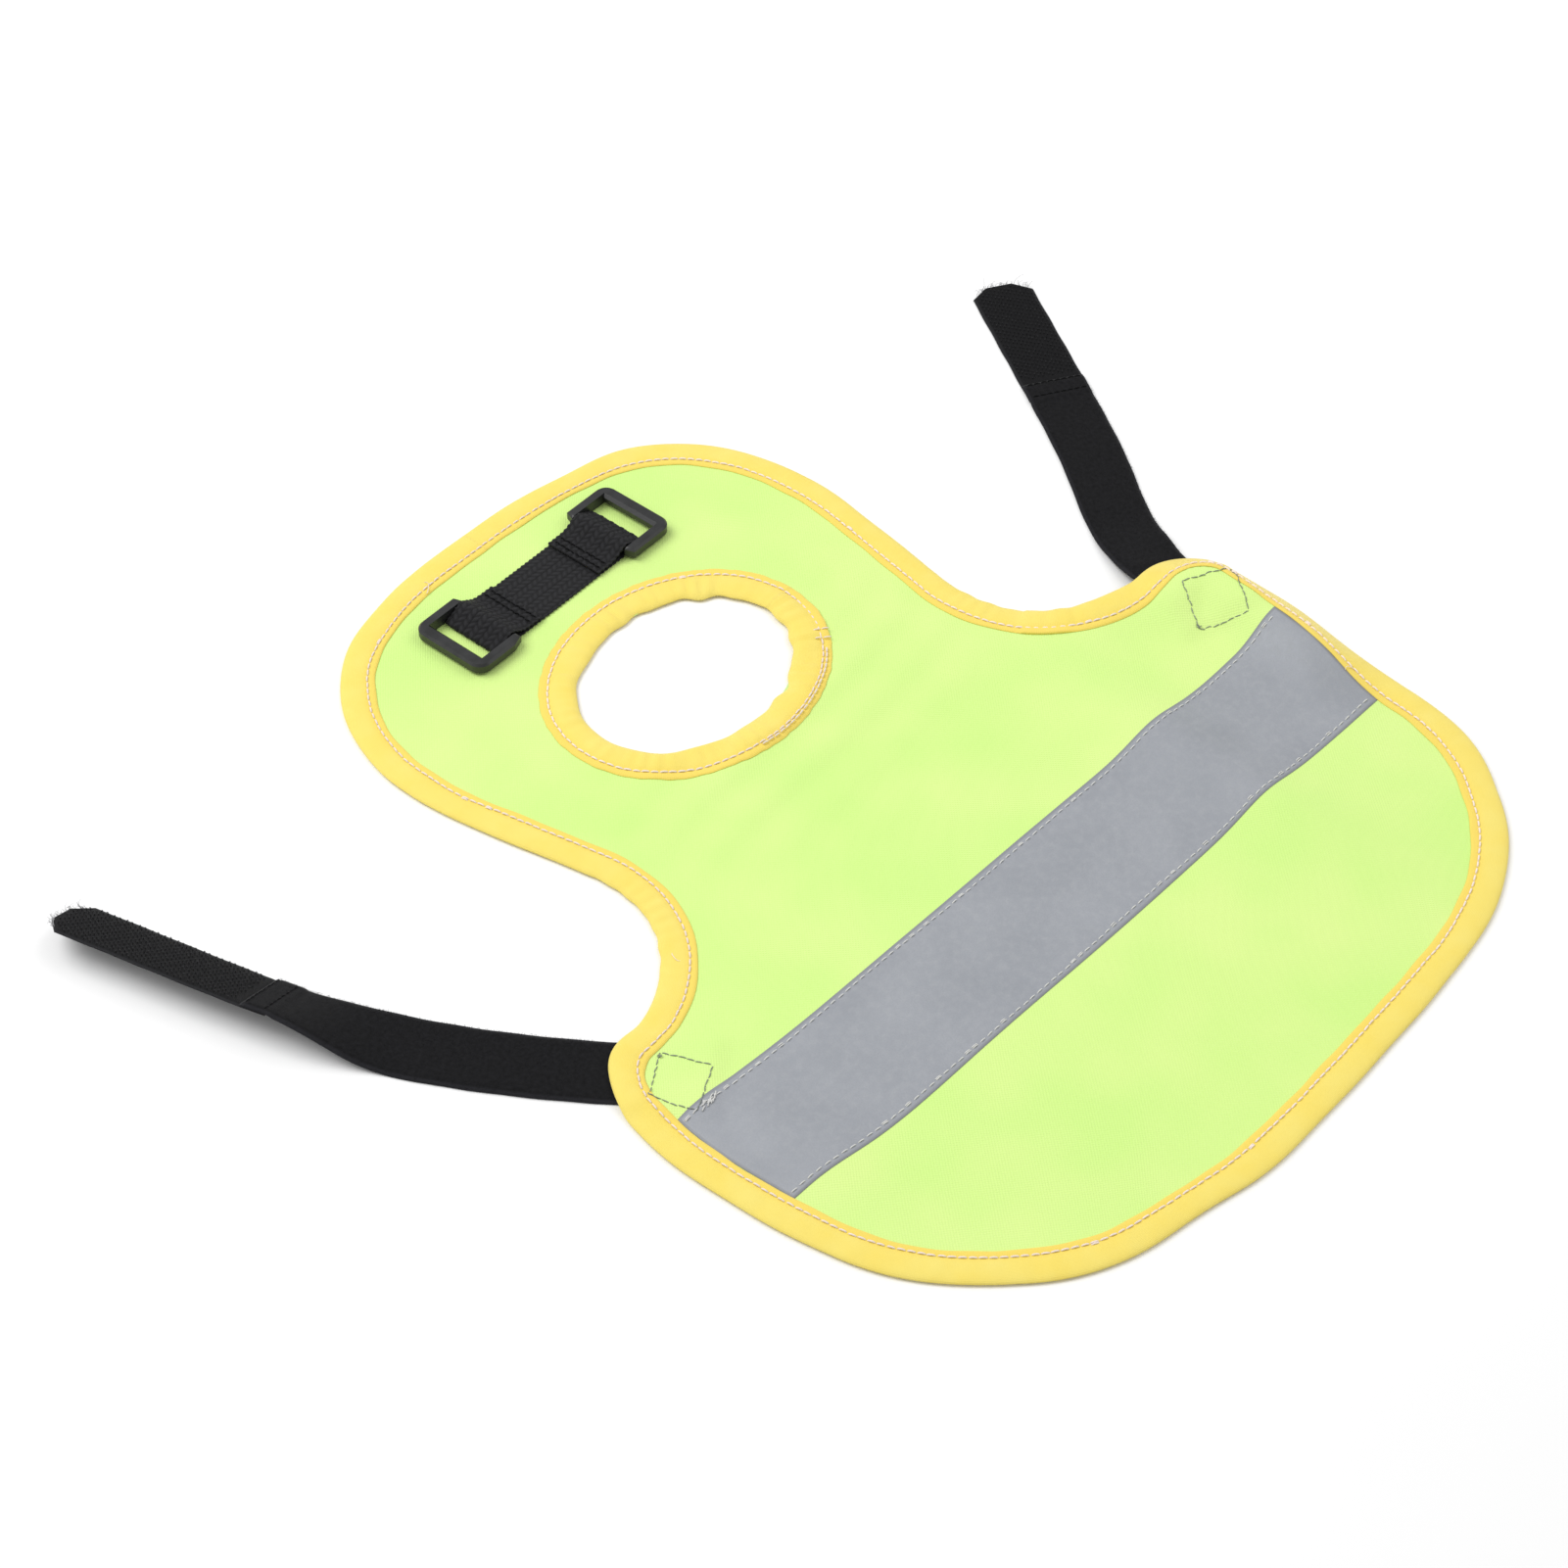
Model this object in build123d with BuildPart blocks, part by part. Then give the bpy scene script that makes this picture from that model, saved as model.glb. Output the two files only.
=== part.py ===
from build123d import *
import os
from math import cos, radians, sin

# High-visibility safety vest for a small dog, lying flat with its outer side up.
# Millimetres. +Z is up, +Y runs from the back panel to the chest lobe (towards the dog's head),
# and X = 0 is the mirror line of the cut fabric. The origin is the centre of the neck opening,
# on the surface that the vest lies on.

beyond_outline = 500.0  # larger than the vest, for the areas that a face is cut with

# Fabric and edge binding
panel_thickness = 0.5
binding_leaf = 0.7  # one side of the folded bias tape that wraps the edge
binding_thickness = 2 * binding_leaf + panel_thickness
panel_top = binding_leaf + panel_thickness
edge_binding_width = 12.5
stitch_inset = 3.0  # from a binding's free edge to its row of stitches
thread_width = 0.7
thread_height = 0.15

# Right half of the cut edge, from the front of the chest lobe round to the tail: the corners of
# a polygon, and the radius that each corner is rounded to
outline_corners = [
    (105, 110), (107.5, 21), (94, -45), (96.5, -95), (167, -96), (166.5, -150), (156, -228), (101, -285),
]
outline_radii = [74, 104, 40, 46, 25, 178, 84, 109]

# Neck opening, an ellipse across the fold between the chest lobe and the back panel
neck_radius_x = 41.0
neck_radius_y = 32.0
neck_binding_width = 14.5
fold_half_gap = 1.3  # each side of the fold line, so that both halves can turn about it

# Reflective tape across the back panel
tape_width = 50.0
tape_thickness = 0.25
tape_centre_y = -164.0
tape_slant = -2.2
tape_stitch_inset = 2.2
tape_stitch_end_gap = 1.0

# Plastic rings and the webbing that holds them, on the chest lobe
ring_centre_y = 69.0
ring_outer_x = 51.0
ring_span = 33.5  # along Y
ring_thickness = 4.5
ring_slot_length = 26.0
ring_outer_bar = 5.5
ring_bar_radius = 1.4
ring_corner_radius = 5.0
ring_rim_chamfer = 0.8
arm_end_taper = (5.0, 1.8)  # along X and along Y
outer_bar_bevel = 1.2
webbing_width = 25.0
webbing_thickness = 1.2
bar_clearance = 0.25
loop_radius = ring_bar_radius + bar_clearance + webbing_thickness
bar_x = 30.6
bar_z = panel_top + loop_radius
loop_end_x = 39.5
loop_eye_x = loop_end_x - 1.6 * webbing_thickness  # where the loop's inside closes to a slit
loop_eye_end_z = panel_top + 1.3 * webbing_thickness
loop_eye_end_radius = 0.25
loop_start_x = bar_x - 8.0  # where the two layers part to go round the bar
webbing_fold_x = 15.0  # the webbing is double from here to the ring
tack_x = 18.5
tack_spacing = 3.0
tack_margin = 2.0  # from the webbing's edges to the ends of a tack

# Hook-and-loop straps
strap_width = 25.0
loop_tape_thickness = 1.5
hook_tape_thickness = 1.3
sewn_end_thickness = binding_leaf  # pressed flat where it is sewn under the panel
sewn_end_length = 34.0
root_gap = 0.9  # each side of the fold at the panel's edge
tab_gap = 0.9  # each side of the fold between loop tape and hook tape
tab_overlap = 11.0
tab_seam_thickness = 0.6
tab_stitch_inset = 1.6
tab_stitch_margin = 1.5  # from the tape's edges to the ends of a row
tip_clip = (6.5, 5.2)  # across and along the tape
loop_tape_sections = 8
box_stitch_side = 19.0

straps = {
    "left": dict(
        root=(-155.0, -98.0), start=124, end=106, bend=104, loop=115, hook=75, roll=20,
        roll_from=62, box=(-140, -120), box_angle=116,
    ),
    "right": dict(
        root=(154.1, -96.8), start=66, end=57.3, bend=50, loop=112, hook=60, roll=0,
        roll_from=60, box=(143, -121), box_angle=56,
    ),
}

os.makedirs("parts", exist_ok=True)


def save(builder, name):
    """Label a finished piece and write it as its own file."""
    builder.part.label = name
    export_step(builder.part, f"parts/{name}.step")


# ---------------------------------------------------------------- flat patterns

with BuildSketch() as vest_outline:
    with BuildLine():
        front = (0, outline_corners[0][1])
        tail = (0, outline_corners[-1][1])
        FilletPolyline(front, *outline_corners, tail, radius=outline_radii)
        mirror(about=Plane.YZ)
    make_face()

with BuildSketch() as back_half:
    with Locations((0, -fold_half_gap)):
        Rectangle(beyond_outline, beyond_outline, align=(Align.CENTER, Align.MAX))

with BuildSketch() as chest_half:
    with Locations((0, fold_half_gap)):
        Rectangle(beyond_outline, beyond_outline, align=(Align.CENTER, Align.MIN))

halves = {"back": back_half.sketch, "chest": chest_half.sketch}


def edge_face(inset):
    """The vest's outline, moved inwards by an inset."""
    with BuildSketch() as face:
        add(vest_outline.sketch)
        if inset:
            offset(amount=-inset, kind=Kind.INTERSECTION)
    return face.sketch


def neck_face(margin):
    """The neck opening, grown outwards by a margin."""
    with BuildSketch() as face:
        Ellipse(neck_radius_x + margin, neck_radius_y + margin)
    return face.sketch


def band(outside, inside, half):
    """The half of the area that lies between two closed faces."""
    with BuildSketch() as area:
        add(outside)
        add(inside, mode=Mode.SUBTRACT)
        add(halves[half], mode=Mode.INTERSECT)
    return area.sketch


def raised(profile, bottom, height, mode=Mode.ADD):
    """Extrude a flat profile upwards from a given height."""
    extrude(profile.moved(Location((0, 0, bottom))), amount=height, mode=mode)


def root_strip(strap, length):
    """The strap's straight sewn end, under the panel."""
    across = strap["start"] + 180
    with BuildSketch() as strip:
        with Locations(Location((*strap["root"], 0), (0, 0, across))):
            with Locations((root_gap, 0)):
                Rectangle(length, strap_width, align=(Align.MIN, Align.CENTER))
    return strip.sketch


edge_outside = edge_face(0)
panel_edge = edge_face(binding_leaf)
edge_binding_inside = edge_face(edge_binding_width)
edge_row_outside = edge_face(edge_binding_width - stitch_inset)
edge_row_inside = edge_face(edge_binding_width - stitch_inset + thread_width)
neck_inside = neck_face(0)
panel_neck = neck_face(binding_leaf)
neck_binding_outside = neck_face(neck_binding_width)
neck_row_outside = neck_face(neck_binding_width - stitch_inset)
neck_row_inside = neck_face(neck_binding_width - stitch_inset - thread_width)

# ---------------------------------------------------------------- panel, bindings and their stitches

for half in halves:
    with BuildPart() as panel:
        raised(band(panel_edge, panel_neck, half), binding_leaf, panel_thickness)
    save(panel, f"{half}_panel")

    with BuildPart() as edge_binding:
        raised(band(edge_outside, edge_binding_inside, half), 0, binding_thickness)
        raised(band(panel_edge, panel_neck, half), binding_leaf, panel_thickness, Mode.SUBTRACT)
        if half == "back":
            for strap in straps.values():
                raised(root_strip(strap, sewn_end_length), 0, sewn_end_thickness, Mode.SUBTRACT)
    save(edge_binding, f"{half}_edge_binding")

    with BuildPart() as neck_binding:
        raised(band(neck_binding_outside, neck_inside, half), 0, binding_thickness)
        raised(band(panel_edge, panel_neck, half), binding_leaf, panel_thickness, Mode.SUBTRACT)
    save(neck_binding, f"{half}_neck_binding")

    with BuildPart() as edge_stitching:
        raised(band(edge_row_outside, edge_row_inside, half), binding_thickness, thread_height)
    save(edge_stitching, f"{half}_edge_stitching")

    with BuildPart() as neck_stitching:
        raised(band(neck_row_outside, neck_row_inside, half), binding_thickness, thread_height)
    save(neck_stitching, f"{half}_neck_stitching")

# ---------------------------------------------------------------- reflective tape

tape_middle = Location((0, tape_centre_y, 0), (0, 0, tape_slant))

with BuildPart() as reflective_tape:
    with BuildSketch(Plane.XY.offset(panel_top)):
        with Locations(tape_middle):
            Rectangle(beyond_outline, tape_width)
        add(edge_binding_inside, mode=Mode.INTERSECT)
    extrude(amount=tape_thickness)
save(reflective_tape, "reflective_tape")

with BuildPart() as tape_stitching:
    with BuildSketch(Plane.XY.offset(panel_top + tape_thickness)):
        with Locations(tape_middle):
            with GridLocations(0, tape_width - 2 * tape_stitch_inset, 1, 2):
                Rectangle(beyond_outline, thread_width)
        add(edge_face(edge_binding_width + tape_stitch_end_gap), mode=Mode.INTERSECT)
    extrude(amount=thread_height)
save(tape_stitching, "tape_stitching")

# ---------------------------------------------------------------- webbing and rings

webbing_plane = Plane.XZ.offset(-ring_centre_y)

with BuildPart() as ring_webbing:
    with BuildSketch(webbing_plane):
        with Locations((0, panel_top)):
            Rectangle(2 * bar_x, webbing_thickness, align=(Align.CENTER, Align.MIN))
        for side in (-1, 1):
            with BuildSketch(mode=Mode.PRIVATE) as loop:
                with Locations((side * bar_x, bar_z)):
                    Circle(loop_radius)
                with Locations((side * (loop_end_x - webbing_thickness), panel_top + webbing_thickness)):
                    Circle(webbing_thickness)
                with Locations((side * loop_start_x, panel_top + webbing_thickness)):
                    Circle(webbing_thickness)
                make_hull()
                with BuildSketch(mode=Mode.PRIVATE) as eye:
                    with Locations((side * bar_x, bar_z)):
                        Circle(ring_bar_radius + bar_clearance)
                    with Locations((side * loop_eye_x, loop_eye_end_z)):
                        Circle(loop_eye_end_radius)
                    make_hull()
                add(eye.sketch, mode=Mode.SUBTRACT)
            add(loop.sketch)
            with Locations((side * webbing_fold_x, panel_top + webbing_thickness)):
                Rectangle(
                    loop_start_x - webbing_fold_x,
                    webbing_thickness,
                    align=(Align.MIN if side > 0 else Align.MAX, Align.MIN),
                )
    extrude(amount=webbing_width / 2, both=True)
save(ring_webbing, "ring_webbing")

with BuildPart() as webbing_stitching:
    with BuildSketch(Plane.XY.offset(panel_top + 2 * webbing_thickness)):
        for side in (-1, 1):
            with Locations((side * tack_x, ring_centre_y)):
                with GridLocations(tack_spacing, 0, 2, 1):
                    Rectangle(thread_width, webbing_width - 2 * tack_margin)
    extrude(amount=thread_height)
save(webbing_stitching, "webbing_stitching")

ring_inner_x = bar_x - ring_thickness / 2
slot_outer_x = ring_outer_x - ring_outer_bar

for name, side in (("left_ring", -1), ("right_ring", 1)):
    with BuildPart() as ring:
        with BuildSketch(Plane.XY.offset(bar_z - ring_thickness / 2)):
            with Locations((side * (ring_inner_x + ring_outer_x) / 2, ring_centre_y)):
                Rectangle(ring_outer_x - ring_inner_x, ring_span)
            corners = vertices().group_by(Axis.X)
            fillet(corners[-1 if side > 0 else 0], ring_corner_radius)
            chamfer(vertices().group_by(Axis.X)[0 if side > 0 else -1], *arm_end_taper)
        extrude(amount=ring_thickness)
        top_rim = faces().sort_by(Axis.Z)[-1].edges()
        bottom_rim = faces().sort_by(Axis.Z)[0].edges()
        chamfer(top_rim + bottom_rim, ring_rim_chamfer)
        # the side arms end in a half round about the bar
        with BuildSketch(Plane.XZ.offset(-ring_centre_y)):
            with Locations((side * bar_x, bar_z)):
                Circle(ring_thickness / 2)
                Rectangle(
                    ring_outer_x - bar_x + 1,
                    ring_thickness,
                    align=(Align.MIN if side > 0 else Align.MAX, Align.CENTER),
                )
        extrude(amount=ring_span, both=True, mode=Mode.INTERSECT)
        with BuildSketch(Plane.XY.offset(bar_z - ring_thickness / 2)):
            with Locations((side * (ring_inner_x - 1), ring_centre_y)):
                Rectangle(
                    slot_outer_x - ring_inner_x + 1,
                    ring_slot_length,
                    align=(Align.MIN if side > 0 else Align.MAX, Align.CENTER),
                )
        extrude(amount=ring_thickness, mode=Mode.SUBTRACT)
        outer_bar_edge = (
            edges()
            .filter_by(Axis.Y)
            .filter_by(lambda e: abs(abs(e.center().X) - slot_outer_x) < 0.01)
        )
        chamfer(outer_bar_edge, outer_bar_bevel)
        with BuildSketch(Plane.XZ.offset(-ring_centre_y)):
            with Locations((side * bar_x, bar_z)):
                Circle(ring_bar_radius)
        extrude(amount=ring_slot_length / 2 + 1, both=True)
    save(ring, name)

# ---------------------------------------------------------------- straps


def strap_plane(strap, distance):
    """Cross-section plane at a distance along a strap: x across, y up through the tape, z ahead.

    The centre line is an arc followed by a straight run. The origin is on the tape's underside,
    raised just enough for the lower edge of a rolled stretch to stay on the ground.
    """
    bent = min(distance, strap["bend"])
    half_turn = radians(strap["end"] - strap["start"]) * bent / strap["bend"] / 2
    chord = bent * (sin(half_turn) / half_turn if half_turn else 1)
    chord_heading = radians(strap["start"]) + half_turn
    heading = chord_heading + half_turn
    run = distance - bent
    x = strap["root"][0] + chord * cos(chord_heading) + run * cos(heading)
    y = strap["root"][1] + chord * sin(chord_heading) + run * sin(heading)
    share = (distance - strap["roll_from"]) / (strap["loop"] - tab_overlap - strap["roll_from"])
    share = max(0, min(1, share))
    roll = radians(strap["roll"]) * share * share * (3 - 2 * share)
    across = (-sin(heading) * cos(roll), cos(heading) * cos(roll), sin(roll))
    origin = (x, y, strap_width / 2 * sin(abs(roll)))
    return Plane(origin=origin, x_dir=across, z_dir=(cos(heading), sin(heading), 0))


def strap_length(strap, start, finish, bottom, top, pieces):
    """A stretch of strap between two heights through its thickness, lofted from cross-sections."""
    sections = []
    for i in range(pieces + 1):
        with BuildSketch(strap_plane(strap, start + (finish - start) * i / pieces)) as section:
            with Locations((0, (bottom + top) / 2)):
                Rectangle(strap_width, top - bottom)
        sections.append(section.sketch)
    loft(sections, ruled=True)


for side, strap in straps.items():
    seam_start = strap["loop"] - tab_overlap
    seam_finish = strap["loop"] - tab_gap

    with BuildPart() as sewn_end:
        raised(root_strip(strap, sewn_end_length), 0, sewn_end_thickness)
    save(sewn_end, f"{side}_strap_sewn_end")

    with BuildPart() as box_stitching:
        with BuildSketch(Plane.XY.offset(panel_top)):
            with Locations(Location((*strap["box"], 0), (0, 0, strap["box_angle"]))):
                Rectangle(box_stitch_side, box_stitch_side)
                inner_side = box_stitch_side - 2 * thread_width
                Rectangle(inner_side, inner_side, mode=Mode.SUBTRACT)
            add(edge_binding_inside, mode=Mode.INTERSECT)
            with BuildSketch(mode=Mode.PRIVATE) as under_tape:
                with Locations(tape_middle):
                    Rectangle(beyond_outline, tape_width)
            add(under_tape.sketch, mode=Mode.SUBTRACT)
        extrude(amount=thread_height)
    save(box_stitching, f"{side}_box_stitching")

    with BuildPart() as loop_tape:
        strap_length(strap, root_gap, seam_start, 0, loop_tape_thickness, loop_tape_sections)
        strap_length(strap, seam_start, seam_finish, tab_seam_thickness, loop_tape_thickness, 1)
    save(loop_tape, f"{side}_loop_tape")

    with BuildPart() as hook_sewn_end:
        strap_length(strap, seam_start, seam_finish, 0, tab_seam_thickness, 1)
    save(hook_sewn_end, f"{side}_hook_sewn_end")

    fold = strap_plane(strap, strap["loop"])
    tape_face = Plane(origin=fold.origin, x_dir=fold.z_dir, z_dir=fold.y_dir)

    with BuildPart() as tab_stitching:
        with BuildSketch(tape_face.offset(loop_tape_thickness)):
            with Locations((-tab_gap - tab_stitch_inset, 0), (-tab_overlap + tab_stitch_inset, 0)):
                Rectangle(thread_width, strap_width - 2 * tab_stitch_margin)
        extrude(amount=thread_height)
    save(tab_stitching, f"{side}_tab_stitching")

    with BuildPart() as hook_tape:
        with BuildSketch(tape_face):
            with Locations((tab_gap, 0)):
                Rectangle(strap["hook"] - tab_gap, strap_width, align=(Align.MIN, Align.CENTER))
            chamfer(vertices().group_by(Axis.X)[-1], *tip_clip)
        extrude(amount=hook_tape_thickness)
    save(hook_tape, f"{side}_hook_tape")
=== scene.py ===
import math

import bmesh
import bpy
import numpy as np
from mathutils import Matrix


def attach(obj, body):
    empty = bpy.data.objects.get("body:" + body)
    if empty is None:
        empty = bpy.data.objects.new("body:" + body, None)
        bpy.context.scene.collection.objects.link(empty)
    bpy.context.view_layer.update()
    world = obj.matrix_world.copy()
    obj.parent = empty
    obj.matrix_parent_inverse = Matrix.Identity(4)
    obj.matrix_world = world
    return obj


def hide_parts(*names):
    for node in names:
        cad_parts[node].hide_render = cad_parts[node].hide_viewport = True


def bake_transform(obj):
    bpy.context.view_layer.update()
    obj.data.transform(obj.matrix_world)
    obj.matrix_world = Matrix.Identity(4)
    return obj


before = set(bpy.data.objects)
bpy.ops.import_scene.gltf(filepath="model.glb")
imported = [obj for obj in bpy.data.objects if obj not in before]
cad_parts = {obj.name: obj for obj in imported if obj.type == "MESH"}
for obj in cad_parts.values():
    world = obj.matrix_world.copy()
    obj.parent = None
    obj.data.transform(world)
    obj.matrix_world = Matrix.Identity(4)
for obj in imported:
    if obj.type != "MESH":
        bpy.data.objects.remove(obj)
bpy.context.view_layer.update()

# A high-visibility vest for a small dog, lying flat. Lengths here are millimetres in the CAD's frame,
# and make_object() turns them into metres. +Y runs to the chest lobe and X = 0 is the mirror line.
MM = 0.001
random = np.random.default_rng(11)

# ---------------------------------------------------------------- dimensions, as in the CAD model

panel_thickness = 0.5
binding_leaf = 0.7
panel_top = binding_leaf + panel_thickness
edge_binding_width = 12.5
neck_binding_width = 14.5

outline_corners = [
    (105, 110), (107.5, 21), (94, -45), (96.5, -95), (167, -96), (166.5, -150), (156, -228), (101, -285),
]
outline_radii = [74, 104, 40, 46, 25, 178, 84, 109]
neck_radius_x = 41.0
neck_radius_y = 32.0

tape_width = 50.0
tape_length = 308.0
tape_thickness = 0.25
tape_border = 0.9
tape_centre_y = -164.0
tape_slant = math.radians(-2.2)
tape_stitch_inset = 2.2

ring_centre_y = 69.0
webbing_width = 25.0
webbing_thickness = 1.2
tack_x = 18.5

strap_width = 25.0
half_strap = strap_width / 2
loop_tape_thickness = 1.5
hook_base = 0.6
sewn_end_length = 34.0
tab_gap = 0.9
tab_overlap = 11.0
clip_across, clip_along = 6.5, 5.2  # the two corners cut off a tab's tip
box_stitch_side = 19.0

# Where each strap leaves the edge, its headings at the start and end of a bend of that length, how much
# of the loop tape and the hook tape shows, how far it rolls over and from where, its box of stitches and
# where on it the thread ends hang loose, and how far it bows sideways, where and over what length
straps = {
    "left": dict(
        root=(-155.0, -98.0), start=124, end=106, bend=104, loop=115, hook=75, roll=27, roll_from=62,
        box=(-143, -121.5), box_angle=116, loose_at=0.27, bow=4.0, bow_at=100, bow_length=72,
    ),
    "right": dict(
        root=(154.1, -96.8), start=66, end=57.3, bend=50, loop=112, hook=60, roll=0, roll_from=60,
        box=(145, -125), box_angle=56, loose_at=0.75, bow=5.6, bow_at=12, bow_length=38,
    ),
}

# ---------------------------------------------------------------- camera, floor and light

view_azimuth = math.radians(-49.87)
view_elevation = math.radians(46.16)
view_distance = 1.2
view_target = np.array([-0.02018, -0.0612, 0.0])
sensor_width = 36.0
lens_length = 80.34

world_strength = 0.55
lights = {
    "key": dict(place=(-0.5, 0.9, 1.5), size=1.3, power=23),
    "fill": dict(place=(0.9, -0.7, 1.4), size=1.4, power=8),
}
floor_size = 6.0
floor_depth = 0.15  # millimetres under the vest


def make_camera():
    """The camera looks down at the vest from beyond its left tail corner."""
    a, e = view_azimuth, view_elevation
    right = np.array([math.cos(a), math.sin(a), 0])
    back = np.array([math.sin(a) * math.cos(e), -math.cos(a) * math.cos(e), math.sin(e)])
    up = np.cross(back, right)
    data = bpy.data.cameras.new("camera")
    data.sensor_width, data.lens = sensor_width, lens_length
    data.clip_start, data.clip_end = 0.05, 20
    camera = bpy.data.objects.new("camera", data)
    bpy.context.scene.collection.objects.link(camera)
    place = np.eye(4)
    place[:3, 0], place[:3, 1], place[:3, 2] = right, up, back
    place[:3, 3] = view_target + view_distance * back
    camera.matrix_world = Matrix(place.tolist())
    bpy.context.scene.camera = camera


def make_light(name, place, size, power):
    """A square soft box that faces the vest."""
    data = bpy.data.lights.new(name, "AREA")
    data.size, data.energy = size, power
    light = bpy.data.objects.new(name, data)
    bpy.context.scene.collection.objects.link(light)
    light.location = place
    towards = view_target - np.array(place)
    yaw = math.atan2(towards[1], towards[0]) - math.pi / 2
    pitch = math.atan2(math.hypot(towards[0], towards[1]), -towards[2])
    light.rotation_euler = (pitch, 0, yaw)


def make_world(strength):
    world = bpy.data.worlds.new("studio")
    world.use_nodes = True
    background = world.node_tree.nodes["Background"]
    background.inputs["Color"].default_value = (1, 1, 1, 1)
    background.inputs["Strength"].default_value = strength
    bpy.context.scene.world = world


# ---------------------------------------------------------------- mesh helpers


def unit(v):
    return v / np.maximum(np.linalg.norm(v, axis=-1, keepdims=True), 1e-12)


def smoothstep(x, low, high):
    t = np.clip((x - low) / (high - low), 0, 1)
    return t * t * (3 - 2 * t)


def bell(x, width):
    return np.exp(-((x / width) ** 2))


def grid_faces(rows, columns, wrap_rows=False, wrap_columns=False):
    """Quads over a grid of points that is stored row by row."""
    r = np.arange(rows if wrap_rows else rows - 1)
    c = np.arange(columns if wrap_columns else columns - 1)
    r, c = np.meshgrid(r, c, indexing="ij")
    r2, c2 = (r + 1) % rows, (c + 1) % columns
    corners = [r * columns + c, r * columns + c2, r2 * columns + c2, r2 * columns + c]
    return np.stack(corners, axis=-1).reshape(-1, 4).tolist()


def tube_faces(rings, sides):
    """Quads round a tube that is stored ring by ring, and a face over each of its ends."""
    first, last = range(sides), range((rings - 1) * sides, rings * sides)
    return grid_faces(rings, sides, wrap_columns=True) + [list(first)[::-1], list(last)]


def make_object(name, points, faces, material, uv=None, marks=None):
    """A mesh from points in millimetres, with its cloth coordinates and per-point marks."""
    mesh = bpy.data.meshes.new(name)
    mesh.from_pydata((np.asarray(points) * MM).tolist(), [], faces)
    mesh.update()
    if uv is not None:
        corner = np.zeros(len(mesh.loops), int)
        mesh.loops.foreach_get("vertex_index", corner)
        layer = mesh.uv_layers.new(name="cloth")
        layer.data.foreach_set("uv", np.asarray(uv, np.float32)[corner].ravel())
    for mark, values in (marks or {}).items():
        attribute = mesh.attributes.new(mark, "FLOAT", "POINT")
        attribute.data.foreach_set("value", np.asarray(values, np.float32).ravel())
    mesh.polygons.foreach_set("use_smooth", [True] * len(mesh.polygons))
    mesh.materials.append(material)
    made = bpy.data.objects.new(name, mesh)
    bpy.context.scene.collection.objects.link(made)
    return made


def outward(made):
    """Point a closed mesh's faces outwards."""
    work = bmesh.new()
    work.from_mesh(made.data)
    bmesh.ops.recalc_face_normals(work, faces=work.faces)
    work.to_mesh(made.data)
    work.free()
    return made


def two_sided(name, top, bottom, faces, material, uv, marks=None):
    """A closed sheet: its top, the same faces at its bottom, and walls along every open side."""
    faces = np.asarray(faces)
    n = len(top)
    sides = faces[:, [0, 1, 1, 2, 2, 3, 3, 0]].reshape(-1, 2)
    _, first, uses = np.unique(np.sort(sides, axis=1), axis=0, return_index=True, return_counts=True)
    walls = [[b, a, a + n, b + n] for a, b in sides[first[uses == 1]].tolist()]
    every_face = faces.tolist() + (faces[:, ::-1] + n).tolist() + walls
    marks = {mark: np.tile(values, 2) for mark, values in (marks or {}).items()}
    points, uv = np.vstack([top, bottom]), np.vstack([uv, uv])
    return outward(make_object(name, points, every_face, material, uv, marks))


class Threads:
    """Many thin round threads that make one mesh."""

    def __init__(self, sides=6):
        self.sides = sides
        self.points, self.faces, self.along = [], [], []
        self.count = 0

    def add(self, line, radius):
        """One thread along a line of points; radius is a number, or one for each point."""
        line = np.asarray(line, float)
        n = len(line)
        radius = np.broadcast_to(np.asarray(radius, float), (n,))
        ahead = unit(np.gradient(line, axis=0))
        steep = np.abs(ahead[:, 2]).max() > 0.9
        side = unit(np.cross(ahead, [0.3, 1.0, 0.0] if steep else [0.0, 0.0, 1.0]))
        up = np.cross(side, ahead)
        turn = np.arange(self.sides) * 2 * math.pi / self.sides
        ring = np.cos(turn)[None, :, None] * side[:, None] + np.sin(turn)[None, :, None] * up[:, None]
        self.points.append((line[:, None] + ring * radius[:, None, None]).reshape(-1, 3))
        self.faces += [[self.count + i for i in face] for face in tube_faces(n, self.sides)]
        self.along.append(np.repeat(np.linspace(0, 1, n), self.sides))
        self.count += n * self.sides

    def object(self, name, material):
        points = np.concatenate(self.points)
        along = np.concatenate(self.along)
        uv = np.stack([along * 3.0, points[:, 0] + points[:, 1]], axis=1)
        return outward(make_object(name, points, self.faces, material, uv))


def measured(points, closed=False):
    """A line, closed if it has to be, and how far along it each of its points is."""
    points = np.asarray(points, float)
    if closed:
        points = np.vstack([points, points[:1]])
    return points, np.concatenate([[0], np.cumsum(np.linalg.norm(np.diff(points, axis=0), axis=1))])


def points_at(distance, points, run):
    return np.stack([np.interp(distance, run, column) for column in points.T], axis=1)


def resampled(points, step, closed=False):
    """The same line with evenly spaced points."""
    points, run = measured(points, closed)
    count = max(2, int(round(run[-1] / step)))
    stops = count if closed else count + 1
    return points_at(np.linspace(0, run[-1], stops, endpoint=not closed), points, run)


def rounded(line, passes):
    """A line with its corners eased by cutting them again and again."""
    line = np.asarray(line, float)
    for _ in range(passes):
        before, after = line[:-1], line[1:]
        cut = np.stack([0.75 * before + 0.25 * after, 0.25 * before + 0.75 * after], axis=1)
        line = np.vstack([line[:1], cut.reshape(-1, line.shape[1]), line[-1:]])
    return line


# ---------------------------------------------------------------- the flat cut


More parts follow.
